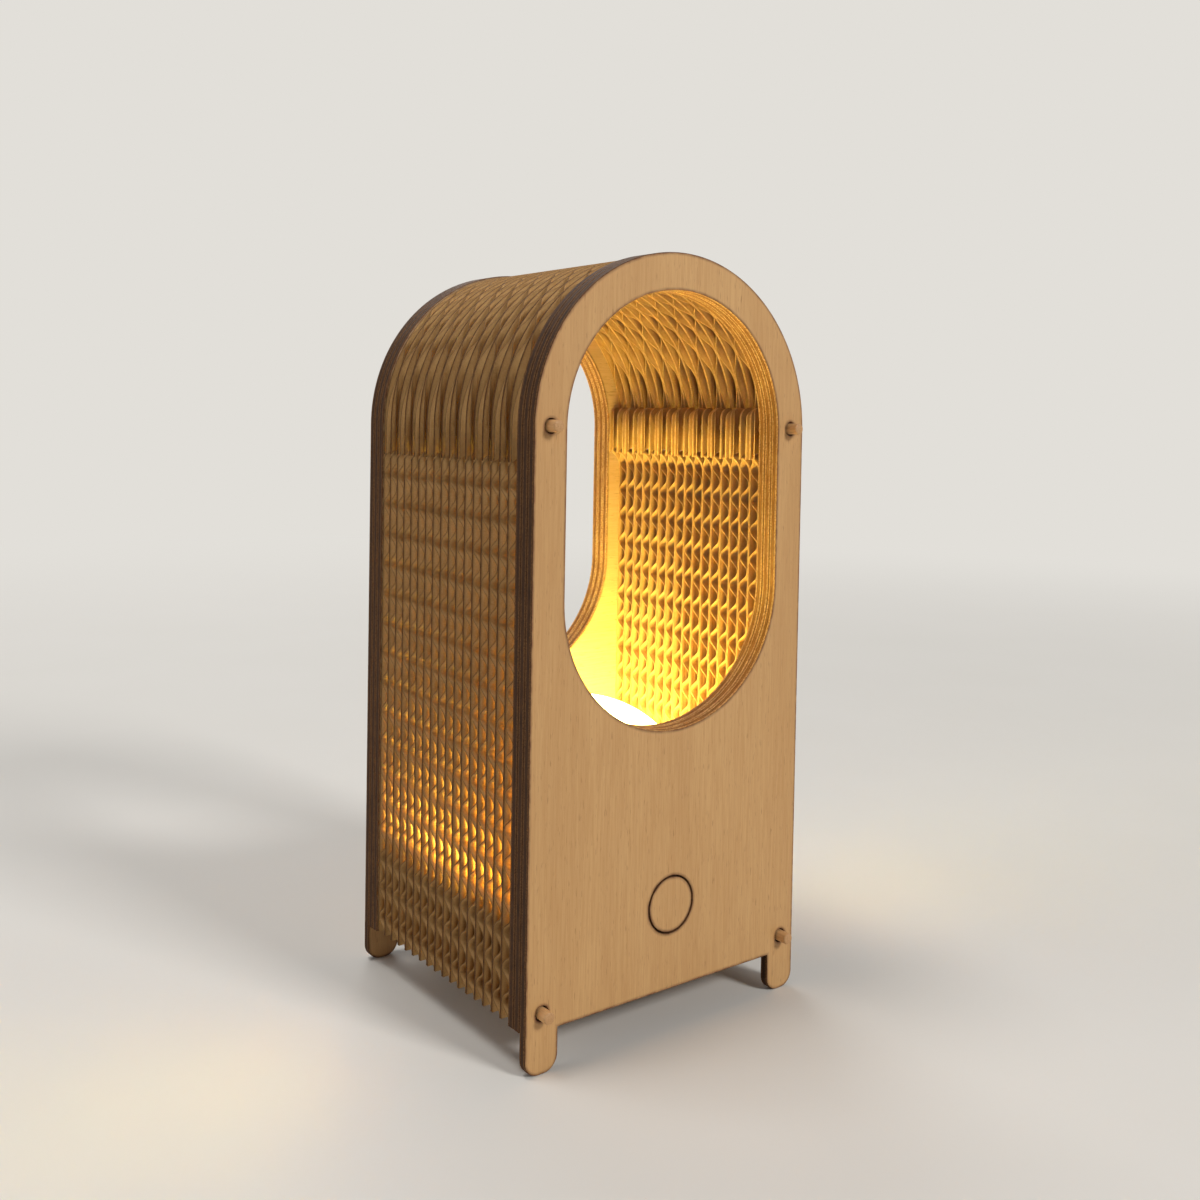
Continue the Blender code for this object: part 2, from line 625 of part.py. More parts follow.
def tray_and_lid():
    """An open tray with standoffs, a slot for the stem and a window for the port, and its lid."""
    centre = (0.0, 0.0, TRAY_BOTTOM + TRAY_HEIGHT / 2)
    tray = box((TRAY_WIDTH, TRAY_DEPTH, TRAY_HEIGHT), centre, LAMP)
    work = bmesh.new()
    work.from_mesh(tray.data)
    top = max(work.faces, key=lambda face: face.calc_center_median().z)
    bmesh.ops.delete(work, geom=[top], context="FACES")
    work.to_mesh(tray.data)
    work.free()
    as_piece(tray, "electronics_tray", DARK_PLASTIC)
    wall = tray.modifiers.new("wall", "SOLIDIFY")
    wall.thickness = TRAY_WALL
    wall.offset = -1.0
    wall.use_even_offset = True
    posts = standoffs()
    shape(tray, posts, "UNION")
    slot_bottom = BUTTON_Z - STEM_HOLE_RADIUS
    slot_top = TRAY_TOP + OVERRUN
    slot_size = (2 * STEM_HOLE_RADIUS, TRAY_WALL + 2 * OVERRUN, slot_top - slot_bottom)
    slot_y = TRAY_FRONT + TRAY_WALL / 2
    slot = as_cutter(box(slot_size, (0.0, slot_y, (slot_bottom + slot_top) / 2), CUTTERS), "stem_slot")
    shape(tray, slot, "DIFFERENCE")
    port_size = (PORT_WIDTH + 2 * FIT_GAP, TRAY_WALL + 2 * OVERRUN, PORT_HEIGHT + 2 * FIT_GAP)
    port_y = TRAY_BACK_INSIDE + TRAY_WALL / 2
    port = as_cutter(box(port_size, (0.0, port_y, PORT_Z), CUTTERS), "port_window")
    shape(tray, port, "DIFFERENCE")
    lid = box((TRAY_WIDTH, TRAY_DEPTH, LID_THICKNESS), (0.0, 0.0, LID_BOTTOM + LID_THICKNESS / 2), LAMP)
    as_piece(lid, "shelf_lid", WHITE_PLASTIC)
    hole_x, hole_y = led_lead_place()
    hole_size = LEAD_RADIUS + LEAD_HOLE_CLEARANCE
    hole_centre = (hole_x, hole_y, LID_BOTTOM + LID_THICKNESS / 2)
    hole = cylinder(hole_size, LID_THICKNESS + 2 * OVERRUN, hole_centre, "Z", CUTTERS, HOLE_STEPS)
    shape(lid, as_cutter(hole, "lead_hole"), "DIFFERENCE")


def standoffs():
    """Four posts, one mesh, that are joined to the tray's floor under the control board."""
    mesh = bpy.data.meshes.new("standoffs")
    work = bmesh.new()
    height = STANDOFF_HEIGHT + TRAY_WALL / 2
    middle = TRAY_FLOOR + STANDOFF_HEIGHT - height / 2
    reach_x = CONTROL_WIDTH / 2 - STANDOFF_INSET
    reach_y = CONTROL_DEPTH / 2 - STANDOFF_INSET
    for side_x in (-1, 1):
        for side_y in (-1, 1):
            post = bmesh.ops.create_cone(work, cap_ends=True, segments=HOLE_STEPS, radius1=STANDOFF_RADIUS,
                                         radius2=STANDOFF_RADIUS, depth=height)
            place = (side_x * reach_x, CONTROL_Y + side_y * reach_y, middle)
            bmesh.ops.translate(work, verts=post["verts"], vec=place)
    work.to_mesh(mesh)
    work.free()
    posts = bpy.data.objects.new("standoffs", mesh)
    CUTTERS.objects.link(posts)
    return as_cutter(posts, "standoffs")


def led_lead_place():
    """Where the light's lead rises through the lid, over the control board."""
    return -CONTROL_WIDTH / 4, CONTROL_Y - CONTROL_DEPTH / 4


def charging():
    """The control board, its port with a tongue, and the pouch cell."""
    board_size = (CONTROL_WIDTH, CONTROL_DEPTH, CIRCUIT_BOARD)
    board = box(board_size, (0.0, CONTROL_Y, CONTROL_BOTTOM + CIRCUIT_BOARD / 2), LAMP)
    as_piece(board, "control_board", BOARD_GREEN)
    port_y = PORT_BACK - PORT_LENGTH / 2
    shell_loop = rounded_slot((0.0, PORT_Z), PORT_WIDTH, PORT_HEIGHT, PORT_HEIGHT / 2)
    shell = upright([shell_loop], PORT_LENGTH, LAMP, port_y)
    as_piece(shell, "usb_port", PORT_STEEL)
    pocket_height = PORT_HEIGHT - 2 * PORT_WALL
    pocket_loop = rounded_slot((0.0, PORT_Z), PORT_WIDTH - 2 * PORT_WALL, pocket_height, pocket_height / 2)
    pocket_length = PORT_DEPTH + OVERRUN
    pocket = upright([pocket_loop], pocket_length, CUTTERS, PORT_BACK - PORT_DEPTH + pocket_length / 2)
    shape(shell, as_cutter(pocket, "port_pocket"), "DIFFERENCE")
    root = (PORT_LENGTH - PORT_DEPTH) / 2
    tongue_size = (TONGUE_WIDTH, TONGUE_LENGTH + root, TONGUE_THICKNESS)
    tongue_y = PORT_BACK - PORT_DEPTH - root + tongue_size[1] / 2
    tongue = box(tongue_size, (0.0, tongue_y, PORT_Z), CUTTERS)
    shape(shell, as_cutter(tongue, "port_tongue"), "UNION")
    cell_z = TRAY_FLOOR + SEAT_GAP + CELL_HEIGHT / 2
    cell = box((CELL_WIDTH, CELL_DEPTH, CELL_HEIGHT), (CELL_X, CELL_Y, cell_z), LAMP)
    chamfer(as_piece(cell, "battery_cell", CELL_FOIL), CELL_ROUNDING, 2)


def light():
    """The diode board in its collar, and the hollow dome that stands on the collar."""
    middle = (0.0, 0.0, LED_BOARD_BOTTOM + CIRCUIT_BOARD / 2)
    board = cylinder(LED_BOARD_RADIUS, CIRCUIT_BOARD, middle, "Z", LAMP, TURNED_STEPS)
    as_piece(board, "led_board", WHITE_PLASTIC)
    shape(board, diodes(), "UNION")
    inner = DOME_RADIUS - COLLAR_WALL
    profile = [
        (DOME_RADIUS, COLLAR_TOP), (DOME_RADIUS, COLLAR_BOTTOM),
        (inner, COLLAR_BOTTOM), (inner, COLLAR_TOP),
    ]
    as_piece(turned(profile, True, LAMP), "dome_collar", WHITE_PLASTIC)
    outer_side = quarter_ellipse(DOME_RADIUS, DOME_RISE, DOME_STEPS)
    inner_side = quarter_ellipse(DOME_RADIUS - DOME_WALL, DOME_RISE - DOME_WALL, DOME_STEPS - 2)
    as_piece(turned(outer_side + inner_side[::-1], False, LAMP), "diffuser_dome", WHITE_PLASTIC)


def quarter_ellipse(radius, rise, steps):
    """A dome's profile, from its top down to its base."""
    points = []
    for step in range(steps + 1):
        angle = math.radians(90) * step / steps
        points.append((radius * math.sin(angle), DOME_BASE + rise * math.cos(angle)))
    return points


def diodes():
    """A ring of diodes, one mesh, that is joined to the top of the board."""
    mesh = bpy.data.meshes.new("diodes")
    work = bmesh.new()
    ring = LED_BOARD_RADIUS * DIODE_RING_SHARE
    height = DIODE_HEIGHT + DIODE_SINK
    z = LED_BOARD_BOTTOM + CIRCUIT_BOARD + DIODE_HEIGHT - height / 2
    for number in range(DIODE_COUNT):
        angle = math.radians(360) * (number + 0.5) / DIODE_COUNT
        chip = bmesh.ops.create_cube(work, size=1.0)
        bmesh.ops.scale(work, verts=chip["verts"], vec=(DIODE_SIZE, DIODE_SIZE, height))
        place = (ring * math.cos(angle), ring * math.sin(angle), z)
        bmesh.ops.translate(work, verts=chip["verts"], vec=place)
    work.to_mesh(mesh)
    work.free()
    chips = bpy.data.objects.new("diodes", mesh)
    CUTTERS.objects.link(chips)
    return as_cutter(chips, "diodes")


def leads():
    """The three leads: cell to control board, switch board to control board, and up to the light."""
    cell_side = CELL_X + CELL_WIDTH / 2
    low = TRAY_FLOOR + LEAD_LIFT
    board_z = CONTROL_BOTTOM + CIRCUIT_BOARD / 2
    board_side = CONTROL_WIDTH / 2
    clear = LEAD_GAP + LEAD_RADIUS
    lead("battery_lead", [
        (cell_side + LEAD_GAP, CELL_Y, low), (cell_side + LEAD_BOW, CELL_Y, low),
        (board_side + 2 * LEAD_BOW, CELL_Y + CELL_DEPTH / 4, low),
        (board_side + 2 * LEAD_BOW, CONTROL_Y, board_z),
        (board_side + LEAD_BOW, CONTROL_Y, board_z), (board_side + LEAD_GAP, CONTROL_Y, board_z),
    ], LEAD_RED, LAMP)
    switch_side = SWITCH_BOARD_WIDTH / 2
    switch_y = SWITCH_BACK + SEAT_GAP + CIRCUIT_BOARD / 2
    aisle = (CELL_X - CELL_WIDTH / 2 - TRAY_INSIDE) / 2
    lead("switch_lead", [
        (-switch_side - LEAD_GAP, switch_y, low), (-switch_side - LEAD_BOW, switch_y, low),
        (aisle, switch_y, low), (aisle, CELL_Y - CELL_DEPTH / 2 + clear, low),
        (aisle, CELL_Y + CELL_DEPTH / 2, low), (aisle, CONTROL_Y, board_z),
        (-board_side - LEAD_BOW, CONTROL_Y, board_z), (-board_side - LEAD_GAP, CONTROL_Y, board_z),
    ], LEAD_RED, LAMP)
    lead_x, lead_y = led_lead_place()
    lead("led_lead", [
        (lead_x, lead_y, CONTROL_TOP + LEAD_GAP), (lead_x, lead_y, CONTROL_TOP + LEAD_BOW),
        (lead_x, lead_y, LID_BOTTOM), (lead_x, lead_y, LED_BOARD_BOTTOM - LEAD_GAP),
    ], LEAD_RED, LAMP)


plywood_faces()
corrugated_core()
dowels()
push_button()
switch()
tray_and_lid()
charging()
light()
leads()
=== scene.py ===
import math

import bmesh
import bpy
from mathutils import Matrix, Vector


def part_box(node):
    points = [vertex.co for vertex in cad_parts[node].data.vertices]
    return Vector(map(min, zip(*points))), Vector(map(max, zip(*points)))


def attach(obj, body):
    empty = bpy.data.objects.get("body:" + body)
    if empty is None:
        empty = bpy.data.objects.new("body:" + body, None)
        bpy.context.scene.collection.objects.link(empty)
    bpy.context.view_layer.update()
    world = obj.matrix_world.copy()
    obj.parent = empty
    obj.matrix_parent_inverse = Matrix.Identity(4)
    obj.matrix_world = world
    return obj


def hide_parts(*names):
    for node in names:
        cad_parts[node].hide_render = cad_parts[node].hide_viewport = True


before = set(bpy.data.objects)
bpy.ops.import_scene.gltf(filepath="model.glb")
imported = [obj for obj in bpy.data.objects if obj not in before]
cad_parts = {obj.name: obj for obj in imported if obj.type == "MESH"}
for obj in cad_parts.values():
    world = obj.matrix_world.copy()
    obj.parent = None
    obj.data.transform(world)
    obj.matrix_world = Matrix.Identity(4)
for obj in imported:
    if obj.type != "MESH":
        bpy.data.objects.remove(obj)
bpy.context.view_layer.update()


# Lower boards: seventeen U-shaped sheets of single-wall corrugated cardboard, cut by laser and
# glued face to face. The flutes run across, so that the light leaves through both side walls, and
# each wall ends in a round knuckle that fits the hollow of an upper board.

def srgb(red, green, blue):
    """A colour as a paint chart gives it, from 0 to 255, for a shader's linear socket."""
    scaled = [part / 255 for part in (red, green, blue)]
    linear = [part / 12.92 if part <= 0.04045 else ((part + 0.055) / 1.055) ** 2.4
              for part in scaled]
    return (*linear, 1.0)


def new_finish(name, roughness, metallic=0.0, specular=0.5):
    """A material, its node tree and its shader."""
    made = bpy.data.materials.new(name)
    made.use_nodes = True
    shader = made.node_tree.nodes["Principled BSDF"]
    shader.inputs["Roughness"].default_value = roughness
    shader.inputs["Metallic"].default_value = metallic
    shader.inputs["Specular IOR Level"].default_value = specular
    return made, made.node_tree, shader


def add_node(tree, kind, inputs, **settings):
    """Outputs of a new node, each of whose inputs is wired to a socket or set to a value."""
    made = tree.nodes.new(kind)
    for setting, value in settings.items():
        setattr(made, setting, value)
    for socket, value in inputs.items():
        if isinstance(value, bpy.types.NodeSocket):
            tree.links.new(value, made.inputs[socket])
        else:
            made.inputs[socket].default_value = value
    return made.outputs


def place_on_object(tree):
    """The shaded point, in metres, in the lamp's own frame."""
    return add_node(tree, "ShaderNodeTexCoord", {})["Object"]


def stretched(tree, place, scale):
    """A place scaled along each axis, so that a pattern on it is drawn out."""
    return add_node(tree, "ShaderNodeVectorMath", {0: place, 1: scale}, operation="MULTIPLY")[0]


def speckle(tree, place, scale, detail=3.0, roughness=0.55):
    """Soft random variation, from 0 to 1, with features one over the scale across."""
    settings = {"Vector": place, "Scale": scale, "Detail": detail, "Roughness": roughness}
    return add_node(tree, "ShaderNodeTexNoise", settings)["Fac"]


def reckoned(tree, operation, *values, **settings):
    """What a sum on one or two values comes to."""
    return add_node(tree, "ShaderNodeMath", dict(enumerate(values)), operation=operation,
                    **settings)[0]


def times(tree, first, second):
    """A mask times another, or times a share, held between 0 and 1."""
    return reckoned(tree, "MULTIPLY", first, second, use_clamp=True)


def ramp(tree, value, start, end, low=0.0, high=1.0):
    """A value that goes smoothly from low at start to high at end."""
    limits = {"Value": value, "From Min": start, "From Max": end, "To Min": low, "To Max": high}
    return add_node(tree, "ShaderNodeMapRange", limits, interpolation_type="SMOOTHSTEP")[0]


def tinted(tree, amount, first, second):
    """The first colour, taken towards the second by an amount."""
    # the node takes its colours at sockets 6 and 7, and gives their mix at output 2
    return add_node(tree, "ShaderNodeMix", {0: amount, 6: first, 7: second}, data_type="RGBA")[2]


def painted(tree, shader, colour):
    """A colour, worked out by nodes, put on a shader."""
    tree.links.new(colour, shader.inputs["Base Color"])


def roughened(tree, shader, mask, start, end, first, last):
    """A shader's roughness: first where the mask is at its start, and last at its end."""
    tree.links.new(ramp(tree, mask, start, end, first, last), shader.inputs["Roughness"])


def raised(tree, shader, height, distance, strength):
    """A fine relief of a given depth on a shader."""
    settings = {"Height": height, "Distance": distance, "Strength": strength}
    bump = add_node(tree, "ShaderNodeBump", settings)
    tree.links.new(bump[0], shader.inputs["Normal"])


def new_effect(name, masks, *values):
    """A node group that turns a place and any further values into masks, and its two ends."""
    group = bpy.data.node_groups.new(name, "ShaderNodeTree")
    group.interface.new_socket("Place", in_out="INPUT", socket_type="NodeSocketVector")
    for label in values:
        group.interface.new_socket(label, in_out="INPUT", socket_type="NodeSocketFloat")
    for label in masks:
        group.interface.new_socket(label, in_out="OUTPUT", socket_type="NodeSocketFloat")
    given = group.nodes.new("NodeGroupInput").outputs
    return group, given, group.nodes.new("NodeGroupOutput").inputs


def effect(tree, group, place, **values):
    """The masks that an effect gives at a place."""
    return add_node(tree, "ShaderNodeGroup", {"Place": place, **values}, node_tree=group)


# paper_fibre: short fibres lying every way, and soft clouds of darker pulp
paper_fibre, given, result = new_effect("paper_fibre", ("Fibre", "Cloud"))
drawn_up = stretched(paper_fibre, given["Place"], (1.0, 0.35, 0.35))
drawn_across = stretched(paper_fibre, given["Place"], (0.4, 1.0, 1.0))
woven = times(paper_fibre, speckle(paper_fibre, drawn_up, 2600.0, 5.0, 0.7),
              speckle(paper_fibre, drawn_across, 3800.0, 4.0, 0.7))
clouds = speckle(paper_fibre, given["Place"], 140.0)
paper_fibre.links.new(ramp(paper_fibre, woven, 0.14, 0.38), result["Fibre"])
paper_fibre.links.new(ramp(paper_fibre, clouds, 0.3, 0.7), result["Cloud"])

# cut_distance: 1 at the outer and the inner cut of the walls and the arch, which share one
# centre, fading to 0 at a given width inside the material
ARCH_CENTRE_HEIGHT = 0.155
cut_distance, given, result = new_effect("cut_distance", ("Nearness",), "Outer", "Inner", "Width")
apart = add_node(cut_distance, "ShaderNodeSeparateXYZ", {0: given["Place"]})
lift = reckoned(cut_distance, "SUBTRACT", apart["Z"], ARCH_CENTRE_HEIGHT)
lift = reckoned(cut_distance, "MAXIMUM", lift, 0.0)
flat_place = add_node(cut_distance, "ShaderNodeCombineXYZ", {"X": apart["X"], "Y": lift})[0]
radius = add_node(cut_distance, "ShaderNodeVectorMath", {0: flat_place},
                  operation="LENGTH")["Value"]
from_outer = reckoned(cut_distance, "SUBTRACT", given["Outer"], radius)
from_inner = reckoned(cut_distance, "SUBTRACT", radius, given["Inner"])
nearest = reckoned(cut_distance, "MINIMUM", from_outer, from_inner)
burn = reckoned(cut_distance, "DIVIDE", nearest, given["Width"])
cut_distance.links.new(ramp(cut_distance, burn, 0.0, 1.0, 1.0, 0.0), result["Nearness"])

BOARD_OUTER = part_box("u_layer_01")[1].x
BOARD_WALL = 0.0043
BOARD_INNER = BOARD_OUTER - BOARD_WALL
CUT_BROWNING = 0.0007

kraft, tree, shader = new_finish("kraft_paper", 0.82, specular=0.15)
place = place_on_object(tree)
fibre = effect(tree, paper_fibre, place)
burnt = effect(tree, cut_distance, place, Outer=BOARD_OUTER, Inner=BOARD_INNER,
               Width=CUT_BROWNING)["Nearness"]
pulp = tinted(tree, fibre["Cloud"], srgb(190, 149, 95), srgb(174, 133, 81))
pulp = tinted(tree, times(tree, fibre["Fibre"], 0.45), pulp, srgb(210, 171, 117))
pulp = tinted(tree, times(tree, burnt, 0.3), pulp, srgb(118, 70, 32))
painted(tree, shader, pulp)
roughened(tree, shader, fibre["Fibre"], 0.0, 1.0, 0.88, 0.74)
raised(tree, shader, fibre["Fibre"], 0.00004, 0.6)

# a cut's walls are painted paler than the paper, a painted highlight of the lamp's inner light,
# and those on the outside dark, partly laser char and partly painted shade, the liners, which lie
# at the joints between the boards, a little darker than the fluted paper between them
BOARD_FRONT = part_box("u_layer_01")[0].y
BOARD_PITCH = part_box("u_layer_02")[0].y - BOARD_FRONT
NO_INNER_CUT = -1.0
CHAR_AND_SHADE_DEPTH = 0.001
LINER_ENDS, MEDIUM_STARTS = 0.00028, 0.0004
MEDIUM_CHAR_AND_SHADE = 0.75

kraft_cut, tree, shader = new_finish("kraft_cut", 0.8, specular=0.1)
place = place_on_object(tree)
fibre = effect(tree, paper_fibre, place)
outer_char_and_shade = effect(tree, cut_distance, place, Outer=BOARD_OUTER, Inner=NO_INNER_CUT,
                 Width=CHAR_AND_SHADE_DEPTH)["Nearness"]
apart = add_node(tree, "ShaderNodeSeparateXYZ", {0: place})
from_joint = reckoned(tree, "SUBTRACT", apart["Y"], BOARD_FRONT)
from_joint = reckoned(tree, "PINGPONG", from_joint, BOARD_PITCH / 2)
liner_char_and_shade = ramp(tree, from_joint, LINER_ENDS, MEDIUM_STARTS, 1.0, MEDIUM_CHAR_AND_SHADE)
uneven = ramp(tree, speckle(tree, place, 900.0, 2.0), 0.35, 0.65)
# painted light: the inner cut walls are painted paler than the paper, as where the lamp's inner
# light falls on them
painted_lit_cut = tinted(tree, uneven, srgb(188, 144, 90), srgb(212, 170, 114))
painted_lit_cut = tinted(tree, times(tree, fibre["Fibre"], 0.35), painted_lit_cut, srgb(228, 190, 136))
# laser char with painted shade: the outer cut walls are painted dark, as where the inner light
# does not reach them
char_and_painted_shade = tinted(tree, uneven, srgb(56, 33, 16), srgb(88, 54, 28))
painted(tree, shader, tinted(tree, times(tree, outer_char_and_shade, liner_char_and_shade), painted_lit_cut, char_and_painted_shade))
raised(tree, shader, fibre["Fibre"], 0.00005, 0.6)

CURVE_STEP = 0.0014
SAME_PLACE = 0.00001


def only(parts, kind):
    """Those of the parts that are of one kind."""
    return [part for part in parts if isinstance(part, kind)]


def laser_path(work, start, moves):
    """An outline in the XZ plane, closed at its start: (x, z) goes straight there, and
    (x, z, degrees) turns about that centre, counter-clockwise as seen from the front."""
    last = first = work.verts.new((start[0], 0.0, start[1]))
    for move in moves:
        centre = Vector((move[0], 0.0, move[1]))
        if len(move) == 2:
            last = bmesh.ops.extrude_vert_indiv(work, verts=[last])["verts"][0]
            last.co = centre
        else:
            turn = math.radians(move[2])
            sweep = abs(turn) * (last.co - centre).length
            steps = 2 * max(4, round(sweep / (2 * CURVE_STEP)))
            swept = bmesh.ops.spin(work, geom=[last], cent=centre, axis=(0.0, 1.0, 0.0),
                                   angle=-turn, steps=steps, use_duplicate=False)["geom_last"]
            last = only(swept, bmesh.types.BMVert)[0]
    if (last.co - first.co).length < SAME_PLACE:
        bmesh.ops.pointmerge(work, verts=[last, first], merge_co=first.co)
    else:
        work.edges.new((last, first))


def punched(work, x, z, radius, steps=40):
    """A round hole in an outline."""
    stand = Matrix.Translation((x, 0.0, z)) @ Matrix.Rotation(math.radians(90), 4, "X")
    bmesh.ops.create_circle(work, cap_ends=False, segments=steps, radius=radius, matrix=stand)


def thickened(work, front, back):
    """The outline filled between its edges and its holes, and given its thickness."""
    bmesh.ops.triangle_fill(work, use_beauty=True, edges=work.edges[:])
    bmesh.ops.translate(work, verts=work.verts, vec=(0.0, front, 0.0))
    moved = bmesh.ops.extrude_face_region(work, geom=work.faces[:])["geom"]
    far = only(moved, bmesh.types.BMVert)
    bmesh.ops.translate(work, verts=far, vec=(0.0, back - front, 0.0))
    bmesh.ops.recalc_face_normals(work, faces=work.faces)


SHARP_ANGLE = math.radians(38)


def new_piece(work, name, *finishes):
    """A finished mesh as an object in the scene, smooth on its round faces."""
    mesh = bpy.data.meshes.new(name)
    work.to_mesh(mesh)
    work.free()
    for each in finishes:
        mesh.materials.append(each)
    mesh.shade_smooth()
    mesh.set_sharp_from_angle(angle=SHARP_ANGLE)
    made = bpy.data.objects.new(name, mesh)
    bpy.context.scene.collection.objects.link(made)
    return made


FLUTE_PITCH = 0.0084
FLUTE_SLANT = math.tan(math.radians(1.7))
STEPS_PER_FLUTE = 16
LINER = 0.00025
MEDIUM = 0.0002
CREST_STANDOFF = MEDIUM * 0.6
CREST_REACH, CREST_ROUNDING = 1.15, 0.15


def corrugated_blank(low, high, crest, upright):
    """A board between two corners, its flutes upright, or across and a little aslant: one crest
    of the fluted paper touches the front liner at the place that crest gives."""
    run, along = (0, 2) if upright else (2, 0)
    middle, size = (low + high) / 2, high - low
    work = bmesh.new()
    steps = round(size[run] / FLUTE_PITCH * STEPS_PER_FLUTE)
    bmesh.ops.create_grid(work, x_segments=steps, y_segments=1, size=0.5)
    reach = size.y / 2 - LINER - CREST_STANDOFF
    for corner in work.verts:
        across, down = corner.co.x, corner.co.y
        corner.co[run] = middle[run] + across * size[run]
        corner.co[along] = middle[along] + down * size[along]
        swing = math.cos(math.tau * (corner.co[run] - crest) / FLUTE_PITCH)
        corner.co.y = middle.y - reach * swing * (CREST_REACH - CREST_ROUNDING * swing ** 2)
        if not upright:
            corner.co.z += FLUTE_SLANT * corner.co.x
    bmesh.ops.recalc_face_normals(work, faces=work.faces)
    bmesh.ops.solidify(work, geom=work.faces[:], thickness=MEDIUM)
    depths = [corner.co.y for corner in work.verts]
    aside = middle.y - (min(depths) + max(depths)) / 2
    bmesh.ops.translate(work, verts=work.verts, vec=(0.0, aside, 0.0))
    for side in (-1, 1):
        sheet = bmesh.ops.create_cube(work, size=1.0)["verts"]
        bmesh.ops.scale(work, verts=sheet, vec=(size.x, LINER, size.z))
        bmesh.ops.translate(work, verts=sheet, vec=(
            middle.x, middle.y + side * (size.y - LINER) / 2, middle.z))
    bmesh.ops.recalc_face_normals(work, faces=work.faces)
    return work


def cut_out(work, pattern, name):
    """A blank cut to a pattern's outline. The cut faces take the pattern's own finish."""
    blank = new_piece(work, "blank", kraft, kraft_cut)
    step = blank.modifiers.new("cut", "BOOLEAN")
    step.operation = "INTERSECT"
    step.solver = "EXACT"
    step.object = pattern
    cut = blank.evaluated_get(bpy.context.evaluated_depsgraph_get())
    mesh = bpy.data.meshes.new_from_object(cut)
    bpy.data.objects.remove(blank)
    made = bpy.data.objects.new(name, mesh)
    mesh.name = name
    bpy.context.scene.collection.objects.link(made)
    return made


def new_pattern(work, name):
    """An outline's prism that blanks are cut with: all its faces have the finish of a cut."""
    for face in work.faces:
        face.material_index = 1
    return new_piece(work, name, kraft, kraft_cut)


def straying(number, most, turn):
    """How far a board's flutes lie off their even places, a little different on each board."""
    return most * math.sin(turn * number)


BOARDS = 17
BLANK_MARGIN = Vector((0.002, 0.0, 0.002))
FLOOR_BAND = 0.0096
DOWEL_HOLE = 0.0018
TOP_CREST = 0.1465
CORE_REACH = 0.0360
KNUCKLE_Z = 0.1437
KNUCKLE_RADIUS = 0.0046
CORBEL_X, CORBEL_Z = 0.0347, 0.1419
CORBEL_RADIUS = BOARD_INNER - CORBEL_X
dowel_low, dowel_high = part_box("dowel_lower_right")
DOWEL_X = (dowel_low.x + dowel_high.x) / 2
LOWER_DOWEL_Z = (dowel_low.z + dowel_high.z) / 2
board_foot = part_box("u_layer_01")[0].z
floor_top = board_foot + FLOOR_BAND

# where the wall's outer side, the knuckle and the corbel meet
foot_side = BOARD_OUTER - DOWEL_X
knuckle_foot = KNUCKLE_Z + math.sqrt(KNUCKLE_RADIUS ** 2 - foot_side ** 2)
between = Vector((DOWEL_X - CORBEL_X, KNUCKLE_Z - CORBEL_Z))
share = (between.length_squared + KNUCKLE_RADIUS ** 2 - CORBEL_RADIUS ** 2) / (
    2 * between.length * KNUCKLE_RADIUS)
knuckle_end = math.atan2(-between.y, -between.x) - math.acos(share) + math.tau
valley = Vector((DOWEL_X + KNUCKLE_RADIUS * math.cos(knuckle_end) - CORBEL_X,
                 KNUCKLE_Z + KNUCKLE_RADIUS * math.sin(knuckle_end) - CORBEL_Z))
knuckle_turn = math.degrees(knuckle_end - math.acos(foot_side / KNUCKLE_RADIUS))
corbel_turn = -math.degrees(math.atan2(valley.y, valley.x))

work = bmesh.new()
laser_path(work, (-BOARD_OUTER, board_foot), [
    (BOARD_OUTER, board_foot), (BOARD_OUTER, knuckle_foot), (DOWEL_X, KNUCKLE_Z, knuckle_turn),
    (CORBEL_X, CORBEL_Z, corbel_turn), (BOARD_INNER, floor_top), (-BOARD_INNER, floor_top),
    (-BOARD_INNER, CORBEL_Z), (-CORBEL_X, CORBEL_Z, corbel_turn),
    (-DOWEL_X, KNUCKLE_Z, knuckle_turn),
])
for side in (-1, 1):
    punched(work, side * DOWEL_X, LOWER_DOWEL_Z, DOWEL_HOLE)
thickened(work, -CORE_REACH, CORE_REACH)
pattern = new_pattern(work, "lower_pattern")
for number in range(1, BOARDS + 1):
    low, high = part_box(f"u_layer_{number:02d}")
    crest = TOP_CREST + straying(number, most=0.00022, turn=2.4)
    blank = corrugated_blank(low - BLANK_MARGIN, high + BLANK_MARGIN, crest, upright=False)
    board = cut_out(blank, pattern, f"lower_board_{number:02d}")
    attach(board, "housing")
    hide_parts(f"u_layer_{number:02d}")
bpy.data.objects.remove(pattern)


# Tray with the electronics: a moulded black tray on the floor band of the lower boards, with the
# switch, the pouch cell and the charging board in it, and a white lid that is the shelf of the
# light. These parts are the CAD's own solids, and only take their finishes here.

def repaint(name, made):
    """A CAD node takes a finish."""
    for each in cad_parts[name].material_slots:
        each.material = made


# moulded_skin: the fine spark-eroded texture of a mould, and its slight unevenness
moulded_skin, given, result = new_effect("moulded_skin", ("Grit", "Cloud"))
grit = speckle(moulded_skin, given["Place"], 4200.0, 2.0, 0.6)
clouds = speckle(moulded_skin, given["Place"], 90.0, 2.0)
moulded_skin.links.new(grit, result["Grit"])
moulded_skin.links.new(ramp(moulded_skin, clouds, 0.3, 0.7), result["Cloud"])


def moulded(name, light, dark, roughness):
    """A moulded plastic of two close colours."""
    made, tree, shader = new_finish(name, roughness)
    skin = effect(tree, moulded_skin, place_on_object(tree))
    painted(tree, shader, tinted(tree, skin["Cloud"], light, dark))
    roughened(tree, shader, skin["Grit"], 0.3, 0.7, roughness - 0.06, roughness + 0.08)
    raised(tree, shader, skin["Grit"], 0.00002, 0.5)
    return made


